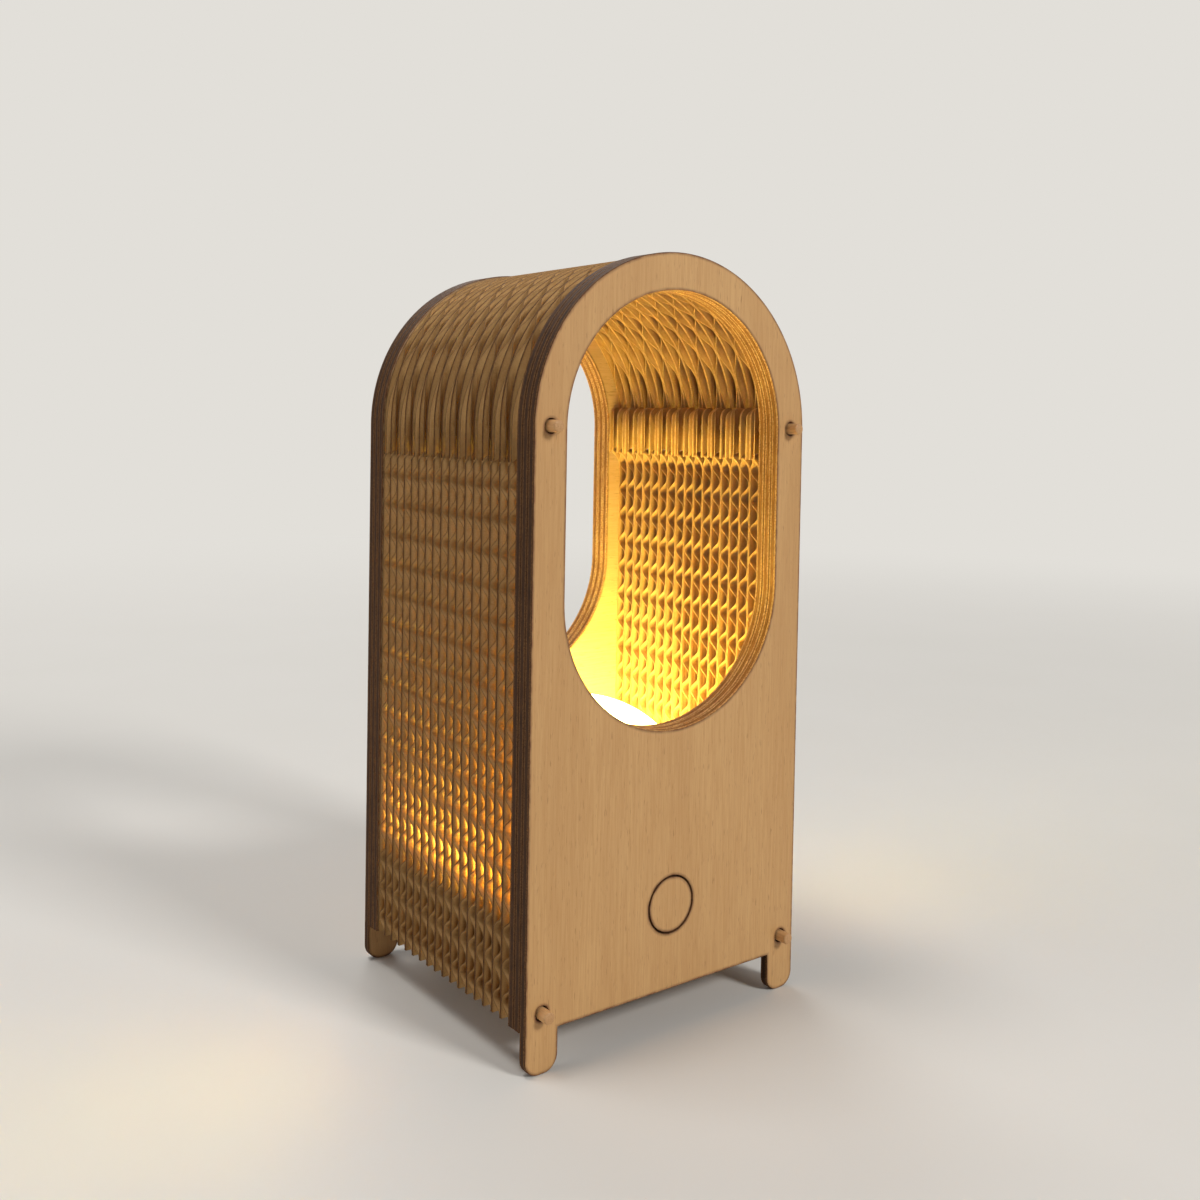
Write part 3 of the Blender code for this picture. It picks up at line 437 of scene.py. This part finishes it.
black_plastic = moulded("black_plastic", srgb(40, 39, 38), srgb(33, 32, 32), 0.5)
white_plastic = moulded("white_plastic", srgb(236, 232, 222), srgb(229, 224, 213), 0.38)
for name in ("electronics_tray", "switch_body", "switch_plunger"):
    repaint(name, black_plastic)
for name in ("shelf_lid", "button_stem"):
    repaint(name, white_plastic)

solder_mask, tree, shader = new_finish("solder_mask", 0.32)
place = place_on_object(tree)
tracks = add_node(tree, "ShaderNodeTexBrick", {
    "Vector": place, "Scale": 260.0, "Mortar Size": 0.08, "Mortar Smooth": 0.2,
    "Brick Width": 0.9, "Row Height": 0.3}, offset=0.35)["Fac"]
pads = add_node(tree, "ShaderNodeTexVoronoi", {
    "Vector": place, "Scale": 420.0, "Randomness": 0.8})["Distance"]
mask = tinted(tree, speckle(tree, place, 300.0), srgb(26, 92, 50), srgb(20, 78, 42))
mask = tinted(tree, tracks, mask, srgb(44, 118, 66))
mask = tinted(tree, ramp(tree, pads, 0.16, 0.12), mask, srgb(206, 190, 148))
painted(tree, shader, mask)
raised(tree, shader, tracks, 0.00003, 0.5)
for name in ("switch_board", "control_board"):
    repaint(name, solder_mask)

cell_pouch, tree, shader = new_finish("cell_pouch", 0.3, 0.8)
place = place_on_object(tree)
creases = speckle(tree, stretched(tree, place, (1.0, 0.5, 2.0)), 260.0, 4.0, 0.6)
painted(tree, shader, tinted(tree, creases, srgb(196, 198, 202), srgb(172, 174, 180)))
roughened(tree, shader, creases, 0.3, 0.7, 0.24, 0.4)
raised(tree, shader, creases, 0.0003, 0.6)
repaint("battery_cell", cell_pouch)

lead_rubber, tree, shader = new_finish("lead_rubber", 0.45)
sheen = speckle(tree, place_on_object(tree), 1500.0)
painted(tree, shader, tinted(tree, sheen, srgb(190, 40, 32), srgb(160, 28, 24)))
raised(tree, shader, sheen, 0.00002, 0.5)
for name in ("battery_lead", "switch_lead", "led_lead"):
    repaint(name, lead_rubber)


# Charging port: a folded steel shell with rounded sides, a black tongue in its mouth and gilt
# contacts on the tongue. It is soldered to the charging board and faces the inlet at the back.

PORT_WALL = 0.0003
PORT_REAR = 0.0010
PORT_FIT = 0.00002
TONGUE = Vector((0.0065, 0.0052, 0.0007))
TONGUE_ROUND = 0.00015
CONTACTS = 12
CONTACT = Vector((0.00024, 0.0036, 0.00006))
CONTACT_PITCH = 0.00048
CONTACT_SETBACK = 0.0003
CONTACT_LIFT = 0.00004
port_low, port_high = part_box("usb_port")
port_middle, port_size = (port_low + port_high) / 2, port_high - port_low


def slot_path(work, wall):
    """The port's outline, drawn in by a wall: straight above and below, and round at its ends."""
    end = port_size.z / 2 - wall
    reach = port_size.x / 2 - port_size.z / 2
    laser_path(work, (-reach, port_middle.z - end), [
        (reach, port_middle.z - end), (reach, port_middle.z, 180.0),
        (-reach, port_middle.z + end), (-reach, port_middle.z, 180.0),
    ])


steel, tree, shader = new_finish("port_steel", 0.24, 1.0)
brushed = speckle(tree, stretched(tree, place_on_object(tree), (1.0, 0.1, 1.0)), 2600.0)
painted(tree, shader, tinted(tree, brushed, srgb(206, 206, 208), srgb(180, 180, 184)))
roughened(tree, shader, brushed, 0.3, 0.7, 0.2, 0.34)
gilt, tree, shader = new_finish("gilt_contacts", 0.26, 1.0)
worn = speckle(tree, place_on_object(tree), 3000.0)
painted(tree, shader, tinted(tree, worn, srgb(230, 190, 110), srgb(200, 156, 80)))

work = bmesh.new()
slot_path(work, 0.0)
slot_path(work, PORT_WALL)
thickened(work, port_low.y, port_high.y)
rear = bmesh.new()
slot_path(rear, PORT_WALL + PORT_FIT)
thickened(rear, port_low.y, port_low.y + PORT_REAR)
rear_mesh = bpy.data.meshes.new("port_rear")
rear.to_mesh(rear_mesh)
rear.free()
work.from_mesh(rear_mesh)
shell = new_piece(work, "port_shell", steel)
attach(shell, "housing")
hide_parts("usb_port")

work = bmesh.new()
bmesh.ops.create_cube(work, size=1.0)
bmesh.ops.scale(work, verts=work.verts, vec=TONGUE)
tongue_y = port_low.y + PORT_REAR + PORT_FIT + TONGUE.y / 2
bmesh.ops.translate(work, verts=work.verts, vec=(0.0, tongue_y, port_middle.z))
bmesh.ops.bevel(work, geom=work.edges[:], offset=TONGUE_ROUND, affect="EDGES", segments=2,
                profile=0.5, material=-1)
tongue = new_piece(work, "port_tongue", black_plastic)
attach(tongue, "housing")

work = bmesh.new()
for number in range(CONTACTS):
    for side in (-1, 1):
        strip = bmesh.ops.create_cube(work, size=1.0)["verts"]
        bmesh.ops.scale(work, verts=strip, vec=CONTACT)
        x = (number - (CONTACTS - 1) / 2) * CONTACT_PITCH
        z = port_middle.z + side * (TONGUE.z / 2 + CONTACT_LIFT)
        bmesh.ops.translate(work, verts=strip, vec=(x, tongue_y + CONTACT_SETBACK, z))
contacts = new_piece(work, "port_contacts", gilt)
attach(contacts, "housing")


# Light: diodes on a round white board, a collar round it, and an opal dome on the collar. Collar
# and dome are moulded of milky plastic that spreads the warm light, the collar sideways to the
# walls.

DOME_WALL = 0.0015
DOME_STEPS = 28
COLLAR_WALL = 0.0022
COLLAR_FOOT, COLLAR_RIM = 0.0020, 0.0010
COLLAR_WAIST = 0.0005
COLLAR_SLOPE = 0.0004
ROUND_STEPS = 96
WARM_LIGHT = (1.0, 0.89, 0.23, 1.0)
DOME_GLOW = 16.5
COLLAR_GLOW = 45.0
repaint("led_board", white_plastic)


def opal(name, glow):
    """Milky plastic that is lit from behind."""
    made, tree, shader = new_finish(name, 0.34)
    skin = effect(tree, moulded_skin, place_on_object(tree))
    painted(tree, shader, tinted(tree, skin["Cloud"], srgb(247, 243, 232), srgb(243, 238, 225)))
    shader.inputs["Emission Color"].default_value = WARM_LIGHT
    shader.inputs["Emission Strength"].default_value = glow
    raised(tree, shader, skin["Grit"], 0.00001, 0.4)
    return made


def turned(work):
    """A profile in the XZ plane, turned once round the lamp's upright axis."""
    bmesh.ops.spin(work, geom=work.verts[:] + work.edges[:], cent=(0.0, 0.0, 0.0),
                   axis=(0.0, 0.0, 1.0), angle=math.tau, steps=ROUND_STEPS, use_merge=True,
                   use_duplicate=False)
    bmesh.ops.remove_doubles(work, verts=work.verts, dist=SAME_PLACE)
    bmesh.ops.recalc_face_normals(work, faces=work.faces)


dome_low, dome_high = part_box("diffuser_dome")
dome_radius = (dome_high.x - dome_low.x) / 2
dome_flatness = (dome_high.z - dome_low.z) / dome_radius
work = bmesh.new()
start = work.verts.new((0.0, 0.0, dome_radius))
bmesh.ops.spin(work, geom=[start], cent=(0.0, 0.0, 0.0), axis=(0.0, 1.0, 0.0),
               angle=math.radians(90), steps=DOME_STEPS, use_duplicate=False)
bmesh.ops.scale(work, verts=work.verts, vec=(1.0, 1.0, dome_flatness))
bmesh.ops.translate(work, verts=work.verts, vec=(0.0, 0.0, dome_low.z))
turned(work)
bmesh.ops.solidify(work, geom=work.faces[:], thickness=DOME_WALL)
bmesh.ops.recalc_face_normals(work, faces=work.faces)
dome = new_piece(work, "opal_dome", opal("opal_diffuser", DOME_GLOW))
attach(dome, "housing")
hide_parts("diffuser_dome")

collar_low, collar_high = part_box("dome_collar")
collar_radius = (collar_high.x - collar_low.x) / 2
bore, waist = collar_radius - COLLAR_WALL, collar_radius - COLLAR_WAIST
foot_top, rim_bottom = collar_low.z + COLLAR_FOOT, collar_high.z - COLLAR_RIM
profile = [
    (bore, collar_low.z), (collar_radius, collar_low.z), (collar_radius, foot_top),
    (waist, foot_top + COLLAR_SLOPE), (waist, rim_bottom - COLLAR_SLOPE),
    (collar_radius, rim_bottom), (collar_radius, collar_high.z), (bore, collar_high.z),
]
work = bmesh.new()
ring = [work.verts.new((x, 0.0, z)) for x, z in profile]
for first, second in zip(ring, ring[1:] + ring[:1]):
    work.edges.new((first, second))
turned(work)
collar = new_piece(work, "turned_collar", opal("opal_collar", COLLAR_GLOW))
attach(collar, "housing")
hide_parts("dome_collar")


# Upper boards: seventeen arches of the same cardboard, with upright flutes, each half a flute
# aside from the next. A boss at either end takes a dowel, and a hollow under it goes over the
# knuckle of a lower board with a thin gap.

BOSS_INNER = 0.0360
BOSS_RISE = 0.0062
BOSS_CORNER = 0.0030
SOCKET_RADIUS = 0.0051
dowel_low, dowel_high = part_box("dowel_upper_right")
UPPER_DOWEL_Z = (dowel_low.z + dowel_high.z) / 2
ledge = ARCH_CENTRE_HEIGHT + BOSS_RISE
meet = math.asin(BOSS_RISE / BOARD_INNER)
corner_x = BOSS_INNER + BOSS_CORNER
boss_side = DOWEL_X - BOSS_INNER
socket_foot = KNUCKLE_Z + math.sqrt(SOCKET_RADIUS ** 2 - foot_side ** 2)
socket_head = KNUCKLE_Z + math.sqrt(SOCKET_RADIUS ** 2 - boss_side ** 2)
socket_turn = math.degrees(math.acos(foot_side / SOCKET_RADIUS)
                           + math.acos(boss_side / SOCKET_RADIUS)) - 180.0
work = bmesh.new()
laser_path(work, (BOARD_OUTER, socket_foot), [
    (BOARD_OUTER, ARCH_CENTRE_HEIGHT), (0.0, ARCH_CENTRE_HEIGHT, 180.0),
    (-BOARD_OUTER, socket_foot), (-DOWEL_X, KNUCKLE_Z, socket_turn),
    (-BOSS_INNER, ledge - BOSS_CORNER), (-corner_x, ledge - BOSS_CORNER, 90.0),
    (-BOARD_INNER * math.cos(meet), ledge),
    (0.0, ARCH_CENTRE_HEIGHT, math.degrees(2 * meet) - 180.0), (corner_x, ledge),
    (corner_x, ledge - BOSS_CORNER, 90.0), (BOSS_INNER, socket_head),
    (DOWEL_X, KNUCKLE_Z, socket_turn),
])
for side in (-1, 1):
    punched(work, side * DOWEL_X, UPPER_DOWEL_Z, DOWEL_HOLE)
thickened(work, -CORE_REACH, CORE_REACH)
pattern = new_pattern(work, "upper_pattern")
for number in range(1, BOARDS + 1):
    low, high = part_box(f"arch_layer_{number:02d}")
    crest = FLUTE_PITCH / 2 * ((number + 1) % 2) + straying(number, most=0.0002, turn=1.9)
    blank = corrugated_blank(low - BLANK_MARGIN, high + BLANK_MARGIN, crest, upright=True)
    board = cut_out(blank, pattern, f"upper_board_{number:02d}")
    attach(board, "housing")
    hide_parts(f"arch_layer_{number:02d}")
bpy.data.objects.remove(pattern)


# Plywood faces: three sheets of birch ply in front and three behind, cut by laser, so that their
# edges are charred brown and a scorched line runs round every cut. Only the outermost have feet.

# wood_grain: fine streaks, broad bands and short pores, all drawn out along Z. Each has the scale
# that draws it out, its pattern's scale, detail and roughness, and its limits on that pattern
wood_grain, given, result = new_effect("wood_grain", ("Streak", "Band", "Pore"))
for label, drawn, scale, detail, rough, start, end in (
    ("Streak", 0.035, 2400.0, 4.0, 0.65, 0.28, 0.72),
    ("Band", 0.12, 110.0, 3.0, 0.5, 0.3, 0.7),
    ("Pore", 0.09, 3600.0, 2.0, 0.5, 0.62, 0.74),
):
    drawn_place = stretched(wood_grain, given["Place"], (1.0, 1.0, drawn))
    pattern = speckle(wood_grain, drawn_place, scale, detail, rough)
    wood_grain.links.new(ramp(wood_grain, pattern, start, end), result[label])


def grain_turned(tree, rotation):
    """The masks of grain that is turned by angles from upright."""
    settings = {"Vector": place_on_object(tree), "Rotation": rotation}
    return effect(tree, wood_grain, add_node(tree, "ShaderNodeMapping", settings)[0])


BIRCH_PORE = srgb(140, 94, 50)
SCORCH = srgb(104, 56, 22)


def veneer(name, turn, light, dark):
    """The face of a birch sheet of two close colours, its grain turned from upright about Y."""
    made, tree, shader = new_finish(name, 0.52)
    grain = grain_turned(tree, (0.0, turn, 0.0))
    wood = tinted(tree, times(tree, grain["Streak"], 0.55), light, dark)
    wood = tinted(tree, times(tree, grain["Band"], 0.4), wood, dark)
    wood = tinted(tree, times(tree, grain["Pore"], 0.5), wood, BIRCH_PORE)
    scorch = add_node(tree, "ShaderNodeAttribute", {}, attribute_name="scorch")["Fac"]
    uneven = ramp(tree, speckle(tree, place_on_object(tree), 380.0), 0.25, 0.7, 0.45, 1.0)
    painted(tree, shader, tinted(tree, times(tree, scorch, uneven), wood, SCORCH))
    roughened(tree, shader, grain["Streak"], 0.0, 1.0, 0.46, 0.6)
    sunk = times(tree, grain["Pore"], 0.6)
    relief = reckoned(tree, "SUBTRACT", grain["Streak"], sunk, use_clamp=True)
    raised(tree, shader, relief, 0.00005, 0.5)
    return made


upright_veneer = veneer("upright_veneer", 0.0, srgb(206, 162, 106), srgb(182, 134, 80))
level_veneer = veneer("level_veneer", math.radians(90), srgb(222, 190, 142), srgb(204, 168, 116))

# ply_layers: a sheet's middle veneer and the glue lines in it and between it and the next sheet,
# counted in from the lamp's faces in shares of a sheet
LAMP_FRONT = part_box("front_plate")[0].y
PLY_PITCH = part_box("front_frame_middle")[0].y - LAMP_FRONT
CORE_START, CORE_END = (0.30, 0.34), (0.66, 0.62)
GLUE_LINES = (0.0, 0.32, 0.65, 1.0)
GLUE_SHARE = 0.055
ply_layers, given, result = new_effect("ply_layers", ("Core", "Glue"))
apart = add_node(ply_layers, "ShaderNodeSeparateXYZ", {0: given["Place"]})
depth = reckoned(ply_layers, "ABSOLUTE", apart["Y"])
depth = reckoned(ply_layers, "SUBTRACT", -LAMP_FRONT, depth)
depth = reckoned(ply_layers, "DIVIDE", depth, PLY_PITCH)
layer = reckoned(ply_layers, "FRACT", depth)
core = times(ply_layers, ramp(ply_layers, layer, *CORE_START), ramp(ply_layers, layer, *CORE_END))
ply_layers.links.new(core, result["Core"])
glue = 0.0
for line in GLUE_LINES:
    before = ramp(ply_layers, layer, line - GLUE_SHARE, line)
    after = ramp(ply_layers, layer, line + GLUE_SHARE, line)
    glue = reckoned(ply_layers, "ADD", glue, times(ply_layers, before, after), use_clamp=True)
ply_layers.links.new(glue, result["Glue"])


def ply_edge(name, veneers, core, line, shade):
    """A cut edge of the sheets, where their veneers show as stripes, from the colours of the
    outer veneers and the core, a pair each, of the glue lines and of the darker places."""
    made, tree, shader = new_finish(name, 0.7, specular=0.15)
    place = place_on_object(tree)
    layers = effect(tree, ply_layers, place)
    ticks = speckle(tree, place, 2600.0, 4.0, 0.7)
    strands = speckle(tree, stretched(tree, place, (0.12, 2.2, 0.12)), 2400.0, 3.0, 0.6)
    wood = tinted(tree, layers["Core"], tinted(tree, ramp(tree, ticks, 0.35, 0.65), *veneers),
                  tinted(tree, ramp(tree, strands, 0.35, 0.65), *core))
    wood = tinted(tree, times(tree, layers["Glue"], 0.85), wood, line)
    shaded = ramp(tree, speckle(tree, place, 160.0), 0.35, 0.75, 0.0, 0.4)
    painted(tree, shader, tinted(tree, shaded, wood, shade))
    raised(tree, shader, ticks, 0.0001, 0.6)
    return made


charred_edge = ply_edge("charred_edge", (srgb(70, 43, 22), srgb(122, 84, 48)),
                        (srgb(42, 25, 13), srgb(84, 54, 30)), srgb(22, 13, 8), srgb(54, 33, 18))
# painted light: the window's cut walls are burnt like the others, but painted paler and golden,
# as where the lamp's inner light falls on them
painted_lit_window_edge = ply_edge("painted_lit_window_edge", (srgb(152, 102, 54), srgb(230, 188, 124)),
                       (srgb(104, 62, 30), srgb(180, 130, 74)), srgb(64, 34, 15),
                       srgb(140, 92, 46))

EASED_EDGE = 0.00014
SCORCH_RINGS = ((0.0002, 0.8), (0.00025, 0.34), (0.0003, 0.0))
FACING = 0.9
LAMP_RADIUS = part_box("front_plate")[1].x
STRIP = 0.0096
FOOT_FLAT = 0.0016
WINDOW_SILL = 0.0675
WINDOW_RADIUS = LAMP_RADIUS - STRIP
PANEL_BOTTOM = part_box("front_frame_middle")[0].z
WINDOW_BOTTOM = PANEL_BOTTOM + WINDOW_SILL


def drawn_in(work, sheet, outward, width, depth=0.0):
    """The sheet's faces after a ring of new ones, of a given width, is set inside every cut."""
    edges = list({edge for face in sheet for edge in face.edges})
    moved = bmesh.ops.extrude_face_region(work, geom=sheet + edges)["geom"]
    sheet = only(moved, bmesh.types.BMFace)
    inside, pulls = set(sheet), {}
    for face in sheet:
        for loop in face.loops:
            if sum(each in inside for each in loop.edge.link_faces) == 1:
                start, end = loop.vert, loop.link_loop_next.vert
                inward = outward.cross(end.co - start.co).normalized()
                pulls.setdefault(start, []).append(inward)
                pulls.setdefault(end, []).append(inward)
    for corner, (first, second) in pulls.items():
        corner.co += (first + second) * width / (1.0 + first.dot(second))
    corners = list({corner for face in sheet for corner in face.verts})
    bmesh.ops.translate(work, verts=corners, vec=(0.0, depth, 0.0))
    return sheet


def scorched(work):
    """Both faces of a cut sheet: the arrises are eased, and rings of fading scorch, each with
    its width and the scorch at its inner side, run inside every cut. The walls of a cut take the
    second finish, and in the window the third, the same burnt edge painted paler, with the
    lamp's inner light painted on."""
    scorch = work.verts.layers.float.new("scorch")
    for corner in work.verts:
        corner[scorch] = 1.0
    for face in work.faces:
        middle = face.calc_center_median()
        nearest = max(WINDOW_BOTTOM + WINDOW_RADIUS, min(middle.z, ARCH_CENTRE_HEIGHT))
        in_window = math.hypot(middle.x, middle.z - nearest) < WINDOW_RADIUS + EASED_EDGE
        # painted light: cut walls in the window take the copy of the edge finish painted as lit
        # from inside
        face.material_index = 2 if in_window else 1
    sides = [(side, [face for face in work.faces if face.normal.y * side > FACING])
             for side in (-1, 1)]
    for side, sheet in sides:
        corners = list({corner for face in sheet for corner in face.verts})
        bmesh.ops.translate(work, verts=corners, vec=(0.0, -side * EASED_EDGE, 0.0))
        outward = Vector((0.0, side, 0.0))
        sheet = drawn_in(work, sheet, outward, EASED_EDGE, side * EASED_EDGE)
        for width, amount in SCORCH_RINGS:
            before = set(work.faces) - set(sheet)
            sheet = drawn_in(work, sheet, outward, width)
            for face in set(work.faces) - before:
                face.material_index = 0
            for corner in {corner for face in sheet for corner in face.verts}:
                corner[scorch] = amount


def dowel_holes(work):
    """The four holes that the dowels pass through."""
    for side in (-1, 1):
        for z in (LOWER_DOWEL_Z, UPPER_DOWEL_Z):
            punched(work, side * DOWEL_X, z, DOWEL_HOLE)


def window(work):
    """The tall round-ended window."""
    laser_path(work, (WINDOW_RADIUS, ARCH_CENTRE_HEIGHT), [
        (0.0, ARCH_CENTRE_HEIGHT, 180.0), (-WINDOW_RADIUS, WINDOW_BOTTOM + WINDOW_RADIUS),
        (0.0, WINDOW_BOTTOM + WINDOW_RADIUS, 180.0),
    ])


def footed_outline(work):
    """The outermost sheet's outline, which runs down into two round-ended feet."""
    inner, foot = LAMP_RADIUS - STRIP, LAMP_RADIUS - STRIP / 2
    flat, corner = FOOT_FLAT / 2, (STRIP - FOOT_FLAT) / 2
    laser_path(work, (-inner, PANEL_BOTTOM), [
        (inner, PANEL_BOTTOM), (inner, corner), (foot - flat, corner, 90.0), (foot + flat, 0.0),
        (foot + flat, corner, 90.0), (LAMP_RADIUS, ARCH_CENTRE_HEIGHT),
        (0.0, ARCH_CENTRE_HEIGHT, 180.0), (-LAMP_RADIUS, corner), (-foot - flat, corner, 90.0),
        (flat - foot, 0.0), (flat - foot, corner, 90.0),
    ])


def plain_outline(work):
    """The other sheets' outline, square at the bottom."""
    laser_path(work, (LAMP_RADIUS, PANEL_BOTTOM), [
        (LAMP_RADIUS, ARCH_CENTRE_HEIGHT), (0.0, ARCH_CENTRE_HEIGHT, 180.0),
        (-LAMP_RADIUS, PANEL_BOTTOM),
    ])


def inlet(work):
    """The charging inlet, a slot with rounded corners."""
    across, down, corner = 0.0063, 0.0036, 0.0015
    middle = port_middle.z
    laser_path(work, (corner - across, middle - down), [
        (across - corner, middle - down), (across - corner, middle - down + corner, 90.0),
        (across, middle + down - corner), (across - corner, middle + down - corner, 90.0),
        (corner - across, middle + down), (corner - across, middle + down - corner, 90.0),
        (-across, middle - down + corner), (corner - across, middle - down + corner, 90.0),
    ])


BUTTON_KERF = 0.0003
STEM_HOLE = 0.0023
button_low, button_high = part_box("button_disc")
button_middle = (button_low + button_high) / 2
button_radius = (button_high.x - button_low.x) / 2


def button_hole(work):
    """The round hole that the button is cut from, wider by the laser's kerf."""
    punched(work, button_middle.x, button_middle.z, button_radius + BUTTON_KERF, ROUND_STEPS)


def stem_hole(work):
    """The small hole for the button's stem."""
    punched(work, button_middle.x, button_middle.z, STEM_HOLE)


SHEETS = (
    ("front_plate", footed_outline, button_hole, upright_veneer),
    ("front_frame_middle", plain_outline, button_hole, level_veneer),
    ("front_frame_inner", plain_outline, stem_hole, level_veneer),
    ("back_plate", footed_outline, inlet, upright_veneer),
    ("back_frame_middle", plain_outline, inlet, level_veneer),
    ("back_frame_inner", plain_outline, inlet, level_veneer),
)
for name, outline, opening, face_finish in SHEETS:
    low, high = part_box(name)
    work = bmesh.new()
    outline(work)
    window(work)
    opening(work)
    dowel_holes(work)
    thickened(work, low.y, high.y)
    scorched(work)
    sheet = new_piece(work, f"{name}_sheet", face_finish, charred_edge, painted_lit_window_edge)
    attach(sheet, "housing")
    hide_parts(name)


# Button: a disc cut out of the front sheet by one thin burnt line, so its grain runs on from the
# sheet's. It is glued to a turned white stem, and the two slide back on the switch.

work = bmesh.new()
punched(work, button_middle.x, button_middle.z, button_radius, ROUND_STEPS)
thickened(work, button_low.y, button_high.y)
scorched(work)
disc = new_piece(work, "button_face", upright_veneer, charred_edge)
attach(disc, "button")
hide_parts("button_disc")


# Dowels: four beech pins pressed through the whole stack, sawn off and left a little proud at
# both faces, with rounded ends that show their end grain.

DOWEL_ROUND = 0.0004
HANDLED = 0.0006
beech, tree, shader = new_finish("beech_dowel", 0.55)
grain = grain_turned(tree, (math.radians(90), 0.0, 0.0))
streak, pore = times(tree, grain["Streak"], 0.6), times(tree, grain["Pore"], 0.6)
wood = tinted(tree, streak, srgb(216, 170, 116), srgb(186, 136, 84))
wood = tinted(tree, pore, wood, srgb(132, 84, 44))
apart = add_node(tree, "ShaderNodeSeparateXYZ", {0: place_on_object(tree)})
outward = reckoned(tree, "ABSOLUTE", apart["Y"])
handled = ramp(tree, outward, dowel_high.y - HANDLED, dowel_high.y, 0.0, 0.35)
painted(tree, shader, tinted(tree, handled, wood, srgb(140, 92, 50)))
roughened(tree, shader, grain["Streak"], 0.0, 1.0, 0.46, 0.62)
raised(tree, shader, grain["Streak"], 0.00006, 0.5)
for name in ("dowel_lower_left", "dowel_lower_right", "dowel_upper_left", "dowel_upper_right"):
    low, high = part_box(name)
    radius, length = (high.x - low.x) / 2, high.y - low.y
    work = bmesh.new()
    lay = Matrix.Translation((low + high) / 2) @ Matrix.Rotation(math.radians(90), 4, "X")
    bmesh.ops.create_cone(work, cap_ends=True, segments=40, radius1=radius, radius2=radius,
                          depth=length, matrix=lay)
    ends = [edge for edge in work.edges
            if abs(edge.verts[0].co.y - edge.verts[1].co.y) < SAME_PLACE]
    bmesh.ops.bevel(work, geom=ends, offset=DOWEL_ROUND, affect="EDGES", segments=4,
                    profile=0.5, material=-1)
    pin = new_piece(work, f"{name}_pin", beech)
    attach(pin, "housing")
    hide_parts(name)


# Studio: a pale floor and a pale background, a soft lamp from the front, a little to the right,
# weaker ones from the left, behind and above, and the camera at the photograph's angle.

BACKDROP = srgb(226, 223, 217)
FLOOR_HALF = 12.0
FADE_START, FADE_END = 0.25, 1.3
floor_finish, tree, shader = new_finish("pale_floor", 0.75)
place = place_on_object(tree)
dust = speckle(tree, place, 9.0)
painted(tree, shader, tinted(tree, dust, srgb(228, 224, 217), srgb(223, 219, 211)))
away = add_node(tree, "ShaderNodeVectorMath", {0: place}, operation="LENGTH")["Value"]
seen = add_node(tree, "ShaderNodeLightPath", {})["Is Camera Ray"]
faded = times(tree, ramp(tree, away, FADE_START, FADE_END), seen)
glow = add_node(tree, "ShaderNodeEmission", {"Color": BACKDROP, "Strength": 1.0})[0]
both = add_node(tree, "ShaderNodeMixShader", {0: faded, 1: shader.outputs[0], 2: glow})[0]
tree.links.new(both, tree.nodes["Material Output"].inputs["Surface"])
work = bmesh.new()
bmesh.ops.create_grid(work, x_segments=8, y_segments=8, size=FLOOR_HALF)
floor = new_piece(work, "floor", floor_finish)

SKY_LEVEL = 0.12
world = bpy.data.worlds.new("studio")
bpy.context.scene.world = world
world.use_nodes = True
tree = world.node_tree
tree.nodes.clear()
path = add_node(tree, "ShaderNodeLightPath", {})
seen = path["Is Camera Ray"]
for ray in ("Is Glossy Ray", "Is Transmission Ray"):
    seen = reckoned(tree, "MAXIMUM", seen, path[ray], use_clamp=True)
backdrop = add_node(tree, "ShaderNodeBackground", {"Color": BACKDROP, "Strength": 1.0})[0]
sky = {"Color": srgb(250, 250, 255), "Strength": SKY_LEVEL}
soft_sky = add_node(tree, "ShaderNodeBackground", sky)[0]
shown = add_node(tree, "ShaderNodeMixShader", {0: seen, 1: soft_sky, 2: backdrop})[0]
add_node(tree, "ShaderNodeOutputWorld", {"Surface": shown})

LIT_POINT = Vector((0.0, 0.0, 0.1))
for name, spot, size, power in (
    ("key", Vector((0.5, -1.9, 1.3)), 0.5, 30.0),
    ("fill", Vector((-1.7, 0.5, 0.8)), 0.8, 6.0),
    ("rear", Vector((0.6, 1.8, 1.2)), 1.2, 12.0),
    ("top", Vector((-0.5, 0.3, 2.2)), 0.6, 15.0),
):
    lamp = bpy.data.lights.new(name, "AREA")
    lamp.shape = "SQUARE"
    lamp.size = size
    lamp.energy = power
    holder = bpy.data.objects.new(name, lamp)
    holder.location = spot
    holder.rotation_euler = (LIT_POINT - spot).to_track_quat("-Z", "Y").to_euler()
    bpy.context.scene.collection.objects.link(holder)

CAMERA_SPOT = Vector((-0.2115, -0.28405, 0.1571))
lens = bpy.data.cameras.new("view")
lens.sensor_width = 36.0
lens.lens = 37.692
lens.shift_x = 0.0064
lens.shift_y = -0.1203
lens.clip_start = 0.01
camera = bpy.data.objects.new("view", lens)
azimuth, elevation, roll = math.radians(-37.116), math.radians(1.634), math.radians(0.977)
ahead = Vector((-math.sin(azimuth) * math.cos(elevation),
                math.cos(azimuth) * math.cos(elevation), -math.sin(elevation)))
right = ahead.cross(Vector((0.0, 0.0, 1.0))).normalized()
up = right.cross(ahead)
tilted_right = right * math.cos(roll) + up * math.sin(roll)
tilted_up = up * math.cos(roll) - right * math.sin(roll)
facing = Matrix((tilted_right, tilted_up, -ahead)).transposed().to_4x4()
camera.matrix_world = Matrix.Translation(CAMERA_SPOT) @ facing
bpy.context.scene.collection.objects.link(camera)
bpy.context.scene.camera = camera
bpy.context.scene.view_settings.view_transform = "Standard"
